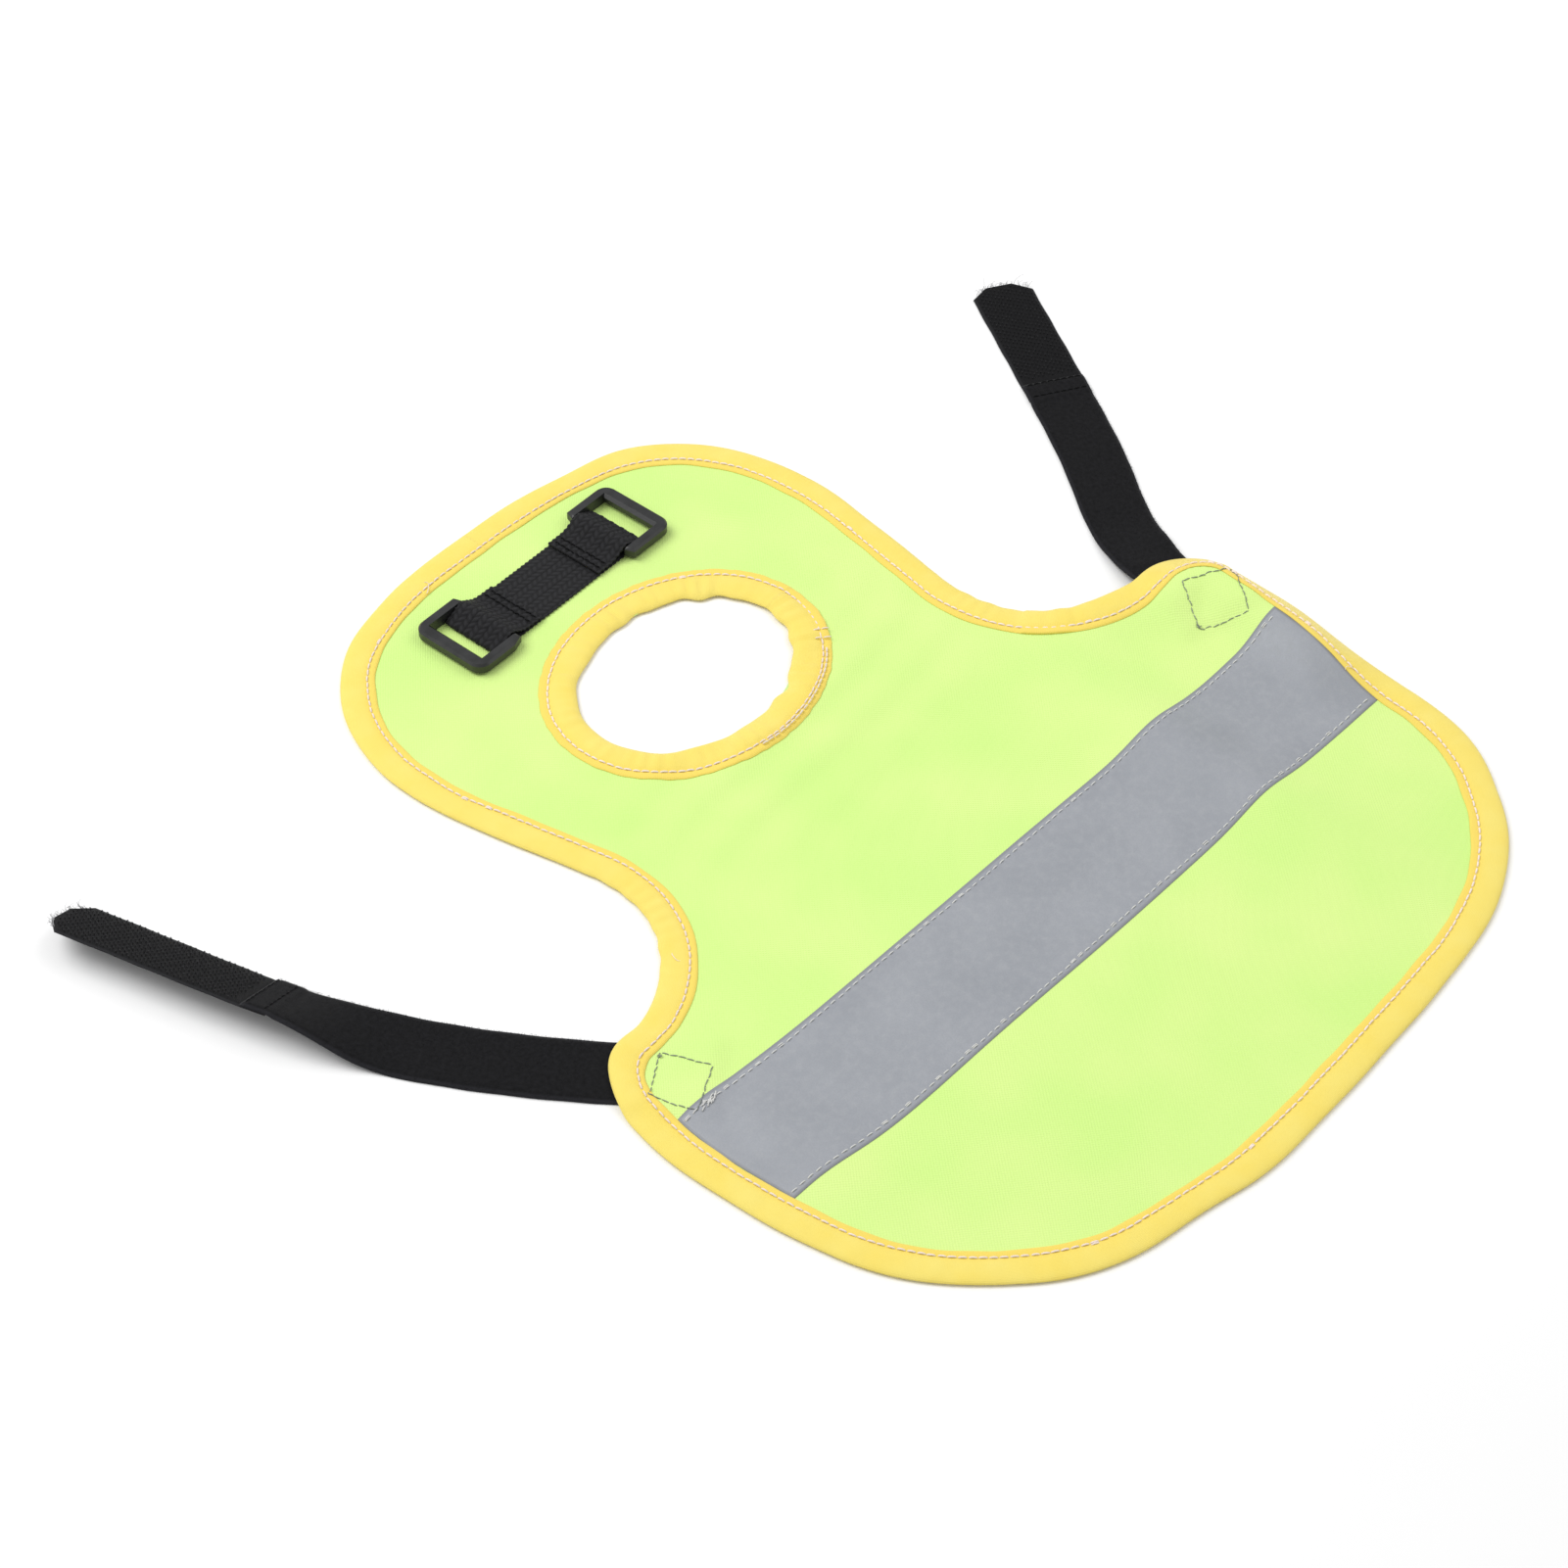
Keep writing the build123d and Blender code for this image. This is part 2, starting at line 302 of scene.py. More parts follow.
def rounded_path(corners, radii):
    """Points along a polygon's line whose inner corners are rounded to tangent arcs."""
    path = [np.array(corners[0], float)]
    for i, radius in enumerate(radii, start=1):
        before, corner, after = (np.array(corners[i + k], float) for k in (-1, 0, 1))
        a, b = unit(before - corner), unit(after - corner)
        half = math.acos(float(np.clip(a @ b, -1, 1))) / 2
        centre = corner + unit(a + b) * radius / math.sin(half)
        first = corner + a * radius / math.tan(half)
        angle = math.atan2(*(first - centre)[::-1])
        crossing = (corner - before)[0] * (after - corner)[1] - (corner - before)[1] * (after - corner)[0]
        turn = math.copysign(math.pi - 2 * half, crossing)
        for share in np.linspace(0, 1, max(3, int(radius * abs(turn))) + 1):
            here = angle + turn * share
            path.append(centre + radius * np.array([math.cos(here), math.sin(here)]))
    path.append(np.array(corners[-1], float))
    return np.array(path)


class Rim:
    """A closed edge of the cloth: points, the way into the cloth at each, and distance along it."""

    def __init__(self, points, into):
        self.points = points
        tangent = np.roll(points, -2, axis=0) - np.roll(points, 2, axis=0)
        self.inward = unit(np.stack([tangent[:, 1], -tangent[:, 0]], axis=1)) * into
        self.step = float(np.linalg.norm(points[1] - points[0]))
        self.along = np.arange(len(points)) * self.step
        self.length = len(points) * self.step

    def inset(self, distance):
        return self.points + np.reshape(distance, (-1, 1)) * self.inward

    def nearest(self, xy):
        """For each point, the index of the closest rim point and the distance into the cloth."""
        xy = np.asarray(xy, float).reshape(-1, 2)
        index = np.zeros(len(xy), int)
        for start in range(0, len(xy), 4000):
            part = xy[start:start + 4000]
            gap = ((part[:, None] - self.points[None]) ** 2).sum(-1)
            index[start:start + 4000] = gap.argmin(1)
        depth = ((xy - self.points[index]) * self.inward[index]).sum(1)
        return index, depth

    def ripple(self, amplitude, waves):
        """Uneven waves that close up after one turn round the rim."""
        total = np.zeros(len(self.points))
        for wave in waves:
            phase, weight = random.uniform(0, 2 * math.pi), random.uniform(0.5, 1)
            total += weight * np.sin(2 * math.pi * wave * self.along / self.length + phase)
        return amplitude * total / math.sqrt(len(waves))


half_outline = [(0, outline_corners[0][1]), *outline_corners, (0, outline_corners[-1][1])]
right_side = rounded_path(half_outline, outline_radii)
left_side = right_side[::-1] * [-1, 1]
edge = Rim(resampled(np.vstack([right_side, left_side[1:-1]]), 1.0, closed=True), into=1)
turn = np.linspace(0, 2 * math.pi, 720, endpoint=False)
neck_line = np.stack([neck_radius_x * np.cos(turn), neck_radius_y * np.sin(turn)], axis=1)
neck = Rim(resampled(neck_line, 1.0, closed=True), into=1)


# ---------------------------------------------------------------- how the cloth lies


def over_strap_end(xy, strap):
    """1 where the cloth lies on a strap's sewn end, easing to 0 around it."""
    heading = math.radians(strap["start"])
    ahead = np.array([math.cos(heading), math.sin(heading)])
    offset = xy - np.array(strap["root"])
    along, across = offset @ ahead, offset @ np.array([-ahead[1], ahead[0]])
    on_length = smoothstep(along, -sewn_end_length - 9, -sewn_end_length) * (1 - smoothstep(along, 6, 14))
    return on_length * (1 - smoothstep(np.abs(across), half_strap, half_strap + 8))


strap_bed = loop_tape_thickness - 0.1
ridge_height = 9.0
fold_height = 0.55
fold_pitch = 19


def hump(xy, size, at, spread):
    """A soft rise or creep of the cloth at a place, with its spread in X and in Y."""
    return size * bell(xy[..., 0] - at[0], spread[0]) * bell(xy[..., 1] - at[1], spread[1])


def lie(xy):
    """Height of the cloth's underside above the floor. It's slack in a few places and flat at most."""
    xy = np.asarray(xy, float)
    shape = xy.shape[:-1]
    xy = xy.reshape(-1, 2)
    x, y = xy[:, 0], xy[:, 1]
    _, depth = edge.nearest(xy)
    inside = smoothstep(depth, 0, 20)
    # the ridge along the right shoulder, whose outer side is the binding itself
    ridge = smoothstep(depth, -2, 13) * (0.22 + 0.78 * (1 - smoothstep(depth, 13, 36)))
    ridge *= smoothstep(x, 112, 150) * smoothstep(y, -200, -160) * (1 - smoothstep(y, -118, -88))
    height = ridge_height * ridge
    # the lifted front of that shoulder, and the slack towards both ends of the tape
    height += hump(xy, 4.6, at=(130, -92), spread=(26, 17))
    height += hump(xy, 4.8, at=(83, -164), spread=(16, 62)) * inside
    height += hump(xy, 1.7, at=(-134, -168), spread=(15, 28)) * smoothstep(depth, 6, 24)
    height += hump(xy, 1.1, at=(-60, -150), spread=(40, 60)) * inside
    # soft folds across the narrow part behind the neck, and a low swell on each side of the neck
    across_fold = y + 46 - 0.10 * x
    window = bell(across_fold, 34) * bell(x, 92) * smoothstep(depth, 6, 26)
    phase = 2 * math.pi * across_fold / fold_pitch + 0.8 * np.sin(x / 31)
    height += window * (fold_height + fold_height * np.sin(phase))
    height += hump(xy, 0.7, at=(-62, 8), spread=(26, 30)) * inside
    height += hump(xy, 0.6, at=(60, 12), spread=(24, 26)) * inside
    for strap in straps.values():
        height += strap_bed * over_strap_end(settled(xy), strap)
    return height.reshape(shape)


def settled(xy):
    """Where points of the cut come to lie: the slack cloth has crept a few millimetres in places."""
    x, y = xy[..., 0], xy[..., 1]
    on_back = -4.3 * bell(y + 184, 44)
    on_left_shoulder = hump(xy, 4.2, at=(-162, -106), spread=(18, 19))
    on_right_lobe = hump(xy, -1.1, at=(106, 35), spread=(24, 52))
    at_tail = hump(xy, 5.0, at=(-80, -283), spread=(27, 26)) + hump(xy, 1.7, at=(70, -283), spread=(34, 24))
    at_front = hump(xy, -3.9, at=(48, 108), spread=(24, 20)) + hump(xy, -2.0, at=(-52, 108), spread=(18, 20))
    at_neck = bell(np.hypot(x, y) - 40, 26)
    moved_x = x + on_back + on_left_shoulder + on_right_lobe + (0.03 * x - 1.9) * at_neck
    moved_y = y + at_tail + at_front + (0.03 * y - 0.4) * at_neck
    return np.stack([moved_x, moved_y], axis=-1)


def under_cloth(xy):
    """Height of the underside of a strap that lies right under the cloth at those places."""
    return np.maximum(lie(2 * xy - settled(xy)) - strap_bed, 0)


def lifted(xy, z):
    """Points of the cloth at a height z in the flat stack, moved to where the cloth lies."""
    xy = np.asarray(xy, float)
    return np.concatenate([settled(xy), (lie(xy) + z)[..., None]], axis=-1)


def tape_creep(along, across):
    """How far the tape's left end has crept up the back, its lower edge the most."""
    return bell(along + 152, 36) * (3.6 - 0.056 * across)


def tape_frame(xy):
    """Distances along and across the reflective tape."""
    c, s = math.cos(tape_slant), math.sin(tape_slant)
    offset = np.asarray(xy, float) - [0, tape_centre_y]
    along, across = offset @ np.array([c, s]), offset @ np.array([-s, c])
    return along, across - tape_creep(along, across)


def from_tape(along, across):
    """Places on the cut from distances along and across the reflective tape."""
    c, s = math.cos(tape_slant), math.sin(tape_slant)
    across = across + tape_creep(along, across)
    return np.stack([along * c - across * s, along * s + across * c + tape_centre_y], axis=-1)


def cloth_top(xy):
    """Height in the flat stack of whatever lies uppermost: panel, tape or binding."""
    xy = np.asarray(xy, float).reshape(-1, 2)
    _, depth = edge.nearest(xy)
    _, across = tape_frame(xy)
    on_tape = 1 - smoothstep(np.abs(across), tape_width / 2 - 0.3, tape_width / 2 + 0.3)
    on_binding = 1 - smoothstep(depth, edge_binding_width - 0.6, edge_binding_width + 0.4)
    base = panel_top + tape_thickness * on_tape
    return base + (panel_top + binding_leaf - base) * on_binding


# ---------------------------------------------------------------- materials


class Look:
    """A Principled material that is built up node by node. Cloth coordinates are in millimetres."""

    def __init__(self, name, roughness, sheen=0.0, sheen_roughness=0.5, metallic=0.0, specular=0.5):
        self.material = bpy.data.materials.new(name)
        self.material.use_nodes = True
        self.tree = self.material.node_tree
        self.shader = self.tree.nodes["Principled BSDF"]
        own = {
            "Roughness": roughness, "Sheen Weight": sheen, "Sheen Roughness": sheen_roughness,
            "Metallic": metallic, "Specular IOR Level": specular,
        }
        for socket, value in own.items():
            self.shader.inputs[socket].default_value = value

    def add(self, kind, settings=None, **inputs):
        node = self.tree.nodes.new(kind)
        for key, value in (settings or {}).items():
            setattr(node, key, value)
        for key, value in inputs.items():
            self.feed(node.inputs[key.replace("_", " ")], value)
        return node

    def feed(self, socket, value):
        if isinstance(value, bpy.types.NodeSocket):
            self.tree.links.new(value, socket)
        else:
            socket.default_value = value

    def calculate(self, operation, *values):
        node = self.add("ShaderNodeMath", {"operation": operation})
        for socket, value in zip(node.inputs, values):
            self.feed(socket, value)
        return node.outputs[0]

    def cloth(self):
        """The cloth coordinates, whole and as two numbers."""
        place = self.add("ShaderNodeUVMap", {"uv_map": "cloth"}).outputs[0]
        parts = self.add("ShaderNodeSeparateXYZ", Vector=place)
        return place, parts.outputs["X"], parts.outputs["Y"]

    def mark(self, name):
        return self.add("ShaderNodeAttribute", {"attribute_name": name}).outputs["Fac"]

    def noise(self, place, size, detail=3.0, roughness=0.55):
        own = dict(Scale=1 / size, Detail=detail, Roughness=roughness)
        return self.add("ShaderNodeTexNoise", Vector=place, **own).outputs["Fac"]

    def wave(self, value, pitch):
        return self.calculate("SINE", self.calculate("MULTIPLY", value, 2 * math.pi / pitch))

    def mix(self, share, a, b):
        node = self.add("ShaderNodeMix", {"data_type": "RGBA"})
        for socket, value in ((node.inputs[0], share), (node.inputs[6], a), (node.inputs[7], b)):
            self.feed(socket, value)
        return node.outputs[2]

    def between(self, value, low, high, to_low=0.0, to_high=1.0):
        node = self.add("ShaderNodeMapRange", Value=value)
        for socket, number in zip(node.inputs[1:5], (low, high, to_low, to_high)):
            socket.default_value = number
        return node.outputs[0]

    def colour(self, value):
        self.feed(self.shader.inputs["Base Color"], value)

    def rough(self, value):
        self.feed(self.shader.inputs["Roughness"], value)

    def bump(self, height, depth, strength=0.5):
        node = self.add("ShaderNodeBump", Height=height, Strength=strength, Distance=depth * MM)
        self.feed(self.shader.inputs["Normal"], node.outputs[0])


def plain_weave(look, along, across, pitch):
    """Over-and-under yarns: a height between -1 and 1."""
    return look.calculate("MULTIPLY", look.wave(along, pitch), look.wave(across, pitch))


def panel_look():
    look = Look("fluorescent_panel", roughness=0.62, sheen=0.15, specular=0.35)
    place, along, across = look.cloth()
    weave = plain_weave(look, along, across, 1.25)
    yarn = look.noise(place, 0.7, detail=2)
    cloud = look.noise(place, 55, detail=2)
    colour = look.mix(look.between(cloud, 0.35, 0.65), (0.60, 0.86, 0.235, 1), (0.68, 0.87, 0.275, 1))
    colour = look.mix(look.between(weave, -1, 1, 0.0, 0.20), colour, (0.50, 0.84, 0.15, 1))
    look.colour(look.mix(look.between(yarn, 0.3, 0.7, 0.0, 0.12), colour, (0.80, 0.92, 0.46, 1)))
    look.rough(look.between(yarn, 0.3, 0.7, 0.55, 0.72))
    look.bump(look.calculate("ADD", weave, look.calculate("MULTIPLY", yarn, 1.2)), 0.12, 0.45)
    return look.material


def binding_look():
    look = Look("orange_yellow_binding", roughness=0.68, sheen=0.2, specular=0.3)
    place, along, across = look.cloth()
    diagonal = look.calculate("ADD", along, across)
    counter = look.calculate("SUBTRACT", along, across)
    weave = plain_weave(look, diagonal, counter, 1.0)
    cloud = look.noise(place, 14, detail=3)
    colour = look.mix(look.between(cloud, 0.3, 0.7), (0.88, 0.71, 0.135, 1), (0.88, 0.75, 0.19, 1))
    colour = look.mix(look.between(weave, -1, 1, 0.0, 0.16), colour, (0.88, 0.60, 0.06, 1))
    look.colour(look.mix(look.mark("margin"), colour, (0.88, 0.66, 0.11, 1)))
    look.rough(look.between(cloud, 0.3, 0.7, 0.6, 0.76))
    look.bump(look.calculate("ADD", weave, look.noise(place, 0.5, detail=2)), 0.1, 0.4)
    return look.material


def tape_look():
    look = Look("silver_reflective_tape", roughness=0.6, metallic=0.1, specular=0.35)
    place, _, _ = look.cloth()
    beads = look.add("ShaderNodeTexVoronoi", Vector=place, Scale=1 / 0.55).outputs["Distance"]
    cloud = look.noise(place, 30, detail=3)
    scuffs = look.noise(place, 3.0, detail=4)
    colour = look.mix(look.between(cloud, 0.35, 0.65), (0.300, 0.315, 0.345, 1), (0.335, 0.35, 0.38, 1))
    colour = look.mix(look.between(scuffs, 0.45, 0.75, 0.0, 0.25), colour, (0.45, 0.46, 0.47, 1))
    colour = look.mix(look.between(beads, 0.0, 0.7, 0.25, 0.0), colour, (0.24, 0.25, 0.27, 1))
    # darker on the border mark: along the long edges this is the tape's own uncoated selvedge, along both
    # ends it is painted shade, a thin shadow line
    look.colour(look.mix(look.mark("margin"), colour, (0.27, 0.28, 0.305, 1)))
    look.rough(look.between(scuffs, 0.4, 0.7, 0.52, 0.70))
    look.bump(beads, 0.05, 0.35)
    return look.material


def thread_look(name, colour, tint, shine=0.4):
    """Twisted thread of two near colours."""
    look = Look(name, roughness=0.6, sheen=shine / 2, specular=shine)
    _, along, across = look.cloth()
    twist = look.wave(look.calculate("ADD", along, across), 0.45)
    look.colour(look.mix(look.between(twist, -1, 1, 0.0, 0.7), colour, tint))
    look.bump(twist, 0.06, 0.5)
    return look.material


def webbing_look():
    look = Look("black_knitted_webbing", roughness=0.7, sheen=0.04, specular=0.2)
    place, along, across = look.cloth()
    strands = look.wave(look.calculate("ADD", along, look.calculate("MULTIPLY", across, 0.7)), 0.55)
    fuzz = look.noise(place, 0.35, detail=3)
    # painted shade: the knit's height mark colours the grooves far darker than the black yarn on top of the
    # loops
    groove_shade, loop_top = (0.0012, 0.0012, 0.0015, 1), (0.020, 0.020, 0.0225, 1)
    colour = look.mix(look.between(look.mark("height"), 0.1, 1.0), groove_shade, loop_top)
    look.colour(look.mix(look.between(fuzz, 0.5, 0.8, 0.0, 0.35), colour, (0.03, 0.03, 0.034, 1)))
    look.rough(look.between(fuzz, 0.3, 0.7, 0.55, 0.8))
    look.bump(look.calculate("ADD", strands, fuzz), 0.09, 0.6)
    return look.material


def loop_tape_look():
    look = Look("black_loop_tape", roughness=0.9, sheen=0.10, sheen_roughness=0.35, specular=0.1)
    place, _, _ = look.cloth()
    nap = look.noise(place, 1.6, detail=5, roughness=0.7)
    fibre = look.noise(place, 0.22, detail=2)
    colour = look.mix(look.between(nap, 0.35, 0.7), (0.0055, 0.0055, 0.006, 1), (0.014, 0.014, 0.0155, 1))
    colour = look.mix(look.between(fibre, 0.55, 0.8, 0.0, 0.5), colour, (0.03, 0.03, 0.034, 1))
    look.colour(look.mix(look.mark("margin"), colour, (0.02, 0.02, 0.023, 1)))
    look.rough(look.between(nap, 0.3, 0.7, 0.82, 0.98))
    look.bump(look.calculate("ADD", nap, fibre), 0.16, 0.6)
    return look.material


def hook_tape_look():
    look = Look("black_hook_tape", roughness=0.7, specular=0.15)
    place, along, across = look.cloth()
    rib = plain_weave(look, along, across, 0.9)
    grain = look.noise(place, 0.4, detail=3)
    colour = look.mix(look.between(rib, -1, 1), (0.0025, 0.0025, 0.003, 1), (0.007, 0.007, 0.008, 1))
    look.colour(look.mix(look.mark("margin"), colour, (0.014, 0.014, 0.016, 1)))
    look.rough(look.between(grain, 0.3, 0.7, 0.5, 0.7))
    look.bump(look.calculate("ADD", rib, grain), 0.09, 0.6)
    return look.material


def fibre_look(name, dark, light, roughness):
    """Fine fibres with painted shade: darker at the root and lighter at the tip."""
    look = Look(name, roughness=roughness, specular=0.25)
    place, along, _ = look.cloth()
    # painted shade at the root, easing to the lighter tip
    look.colour(look.mix(look.between(along, 0.0, 3.0), dark, light))
    look.rough(look.between(look.noise(place, 0.8), 0.3, 0.7, roughness - 0.08, roughness + 0.08))
    return look.material


def plastic_look():
    """Satin moulded plastic. The CAD nodes have no cloth coordinates, so it reads object space."""
    look = Look("black_moulded_plastic", roughness=0.38, specular=0.5)
    place = look.add("ShaderNodeTexCoord").outputs["Object"]
    grain = look.add("ShaderNodeTexNoise", Vector=place, Scale=2600.0, Detail=2.0).outputs["Fac"]
    haze = look.add("ShaderNodeTexNoise", Vector=place, Scale=160.0, Detail=4.0).outputs["Fac"]
    dark, light = (0.013, 0.0135, 0.014, 1), (0.023, 0.0235, 0.025, 1)
    look.colour(look.mix(look.between(haze, 0.35, 0.7), dark, light))
    look.rough(look.between(haze, 0.3, 0.7, 0.30, 0.46))
    look.bump(grain, 0.03, 0.25)
    return look.material


def floor_look():
    look = Look("pale_floor", roughness=0.8, specular=0.2)
    place = look.add("ShaderNodeTexCoord").outputs["Object"]
    haze = look.add("ShaderNodeTexNoise", Vector=place, Scale=3.0, Detail=3.0).outputs["Fac"]
    look.colour(look.mix(look.between(haze, 0.3, 0.7), (0.90, 0.90, 0.90, 1), (0.92, 0.92, 0.92, 1)))
    return look.material


# ---------------------------------------------------------------- panel

panel_cell = 2.0
panel_edge_depth = 1.6  # inside the folded bindings
panel_reach = 168
panel_tail, panel_front = -286, 112


def make_panel(material):
    """One continuous cut of cloth, with its raw edges inside the bindings."""
    x = np.arange(-panel_reach, panel_reach + 0.1, panel_cell)
    y = np.arange(panel_tail, panel_front + 0.1, panel_cell)
    gx, gy = np.meshgrid(x, y, indexing="ij")
    xy = np.stack([gx.ravel(), gy.ravel()], axis=1)
    to_edge, edge_depth = edge.nearest(xy)
    to_neck, neck_depth = neck.nearest(xy)
    keep = (edge_depth > panel_edge_depth) & (neck_depth > panel_edge_depth)
    faces = np.array(grid_faces(len(x), len(y)))
    faces = faces[keep[faces].all(axis=1)]
    uses = np.bincount(faces.ravel(), minlength=len(xy))
    border = (uses > 0) & (uses < 4)
    for index, depth, rim in ((to_edge, edge_depth, edge), (to_neck, neck_depth, neck)):
        near = border & (depth < 3 * panel_cell)
        move = np.maximum(depth - panel_edge_depth, 0)[:, None] * rim.inward[index]
        xy = np.where(near[:, None], xy - move, xy)
    used = np.unique(faces)
    renumber = np.zeros(len(xy), int)
    renumber[used] = np.arange(len(used))
    xy, faces = xy[used], renumber[faces]
    top, bottom = lifted(xy, panel_top), lifted(xy, binding_leaf)
    return two_sided("vest_panel", top, bottom, faces, material, xy)


# ---------------------------------------------------------------- bindings

# The folded tape's section: distance in from the edge as a share of the width, and height.
# It goes over the top from the free edge, round the fold, and back underneath.
valley = 0.22  # how far the stitches pull the tape in
binding_section = [
    (1.000, 1.24), (1.000, 1.40), (0.985, 1.62), (0.930, 1.84), (0.840, 1.88), (0.790, 1.92 - valley),
    (0.760, 1.92 - valley), (0.700, 1.90), (0.600, 2.10), (0.450, 2.20), (0.300, 2.18), (0.160, 2.04),
    (0.070, 1.74), (0.020, 1.36), (0.000, 0.95), (0.020, 0.56), (0.070, 0.22), (0.160, 0.05), (0.450, 0.00),
    (0.700, 0.02), (0.760, 0.26), (0.790, 0.26), (0.840, 0.03), (0.960, 0.03), (1.000, 0.30), (0.985, 0.66),
    (0.700, 0.68), (0.115, 0.68), (0.085, 0.95), (0.115, 1.22), (0.700, 1.22),
]
stitch_share = 0.775
crown_from = 7  # the section's first point between the stitches and the fold
crown_shares = [0.4, 0.8, 1.0, 1.0, 0.8, 0.4]
lap_length = 17.0
lap_rise = 0.55


def make_binding(name, rim, width, material, rim_wave, pucker, joint_at):
    """Bias tape folded round a rim. rim_wave moves the fold in and out, pucker crowns the top."""
    section = np.array(binding_section)
    rows, columns = len(rim.points), len(section)
    depth = np.repeat(section[None, :, 0] * width, rows, axis=0)
    z = np.repeat(section[None, :, 1], rows, axis=0)
    free_edge = rim.ripple(0.22, [23, 41, 67])
    depth += free_edge[:, None] * smoothstep(section[:, 0], 0.8, 1.0)[None]
    depth += rim_wave[:, None] * (1 - smoothstep(section[:, 0], 0.0, 0.6))[None]
    crown = np.zeros(columns)
    crown[crown_from:crown_from + len(crown_shares)] = crown_shares
    z += pucker[:, None] * crown[None]
    # the tape's end laps over its beginning: one more leaf on top, with a folded end
    past = (rim.along - joint_at) % rim.length
    lap = smoothstep(past, 0, 0.8) * (1 - smoothstep(past, lap_length - 5, lap_length))
    z += lap_rise * lap[:, None] * (section[:, 1] > 1.25)[None]
    base = rim.points[:, None] + depth[..., None] * rim.inward[:, None]
    points = lifted(base, z).reshape(-1, 3)
    uv = np.stack([np.repeat(rim.along, columns), depth.ravel()], axis=1)
    inner = smoothstep(section[:, 0], 0.62, 0.80) * (section[:, 1] > 1.0)
    margin = np.tile(0.15 + 0.65 * inner, rows)
    faces = grid_faces(rows, columns, wrap_rows=True, wrap_columns=True)
    return outward(make_object(name, points, faces, material, uv, {"margin": margin}))


# ---------------------------------------------------------------- stitches


# Kinds of stitches: a stitch's length, the gap to the next, and the thread's radius
binding_stitch = (2.7, 0.45, 0.34)
doubled_stitch = (2.4, 0.4, 0.34)
neck_tack_stitch = (2.0, 0.4, 0.26)
tape_stitch = (2.6, 0.9, 0.24)
box_stitch = (2.5, 0.25, 0.19)
webbing_stitch = (2.1, 0.4, 0.26)
seam_stitch = (2.3, 0.4, 0.24)
valley_top = 1.92 - valley + 0.10  # height of the binding's stitches
seam_inset = 1.5


def stitch_line(threads, line, stitch, closed=False, sideways=0.12, rise=0.16, doubled=0.0):
    """Short threads end to end along a line of points on the cloth, each end pulled into it."""
    length, gap, radius = stitch
    line, run = measured(line, closed)
    count = int(run[-1] / (length + gap))
    pitch = run[-1] / count
    share = np.array([0, 0.12, 0.35, 0.65, 0.88, 1])
    rise_at = np.array([-0.30, 0.35, 1.0, 1.0, 0.35, -0.30]) * rise
    thick = np.array([0.55, 0.95, 1.0, 1.0, 0.95, 0.55]) * radius
    for k in range(count):
        start = k * pitch + random.uniform(-0.15, 0.15)
        at = np.clip(start + share * (pitch - gap) * random.uniform(0.93, 1.04), 0, run[-1])
        points = points_at(at, line, run)
        ahead = unit(points[-1] - points[0])
        side = np.array([-ahead[1], ahead[0], 0])
        lean = random.uniform(-sideways, sideways, 2)
        points += side * (lean[0] + (lean[1] - lean[0]) * share)[:, None]
        points[:, 2] += rise_at
        threads.add(points, thick)
        if random.uniform() < doubled:
            threads.add(points + side * random.uniform(0.4, 0.7) + [0, 0, 0.02], thick * 0.9)


def on_cloth(xy, above=0.0):
    """Points on whatever is uppermost at those places."""
    xy = np.asarray(xy, float)
    return lifted(xy, cloth_top(xy) + above)


def tail(threads, start, reach, radius, turns=1.0):
    """A loose thread end that lies on the cloth in an uneven curl."""
    share = np.linspace(0, 1, 16)
    heading = random.uniform(0, 2 * math.pi) + turns * math.pi * share + 0.6 * np.sin(5 * share + 1)
    step = np.stack([np.cos(heading), np.sin(heading)], axis=1) * reach / (len(share) - 1)
    xy = np.array(start) + np.cumsum(step, axis=0) - step[0]
    points = on_cloth(xy, 0.25)
    points[:, 2] += 0.5 * np.sin(math.pi * share)
    threads.add(points, radius * (1 - 0.4 * share))


# ---------------------------------------------------------------- straps


def strap_place(strap, distance):
    """Centre, way across, way up and way ahead of a strap's underside at a distance from its root."""
    s = np.asarray(distance, float)
    bent = np.minimum(s, strap["bend"])
    half = np.radians(strap["end"] - strap["start"]) * bent / strap["bend"] / 2
    half = np.where(s < 0, 0.0, half)
    chord = bent * np.sinc(half / math.pi)
    heading_chord = math.radians(strap["start"]) + half
    heading = heading_chord + half
    run = s - bent
    x = strap["root"][0] + chord * np.cos(heading_chord) + run * np.cos(heading)
    y = strap["root"][1] + chord * np.sin(heading_chord) + run * np.sin(heading)
    share = smoothstep(s, strap["roll_from"], strap["loop"] - tab_overlap)
    slack = bell(s - strap["bow_at"], strap["bow_length"]) * smoothstep(s, -sewn_end_length, 4)
    roll = math.radians(strap["roll"]) * share
    level, risen = np.cos(roll), np.sin(roll)
    across = np.stack([-np.sin(heading) * level, np.cos(heading) * level, risen], axis=-1)
    ahead = np.stack([np.cos(heading), np.sin(heading), np.zeros_like(s)], axis=-1)
    up = np.cross(ahead, across)
    x = x - np.sin(heading) * strap["bow"] * slack
    y = y + np.cos(heading) * strap["bow"] * slack
    z = half_strap * np.sin(np.abs(roll))
    return np.stack([x, y, z], axis=-1), across, up, ahead


# Half of a strap's section, from its edge to beside the middle: place across as a share of the half width,
# height share of the top face, and how much of the plain selvedge is there
half_section = [
    (1.00, 0.25, 1), (0.99, 0.55, 1), (0.95, 0.66, 1), (0.925, 0.72, 0.7), (0.89, 0.93, 0), (0.8, 1.0, 0),
    (0.6, 1.0, 0), (0.4, 1.0, 0), (0.2, 1.0, 0),
]
mirrored_half = [(-across, height, selvedge) for across, height, selvedge in half_section]
strap_section = mirrored_half + [(0, 1.0, 0)] + half_section[::-1]


pile_count = 2600
hook_row_pitch = 2.5
hook_row_slant = 0.6
hook_pitch = 1.35
filament_count = 46


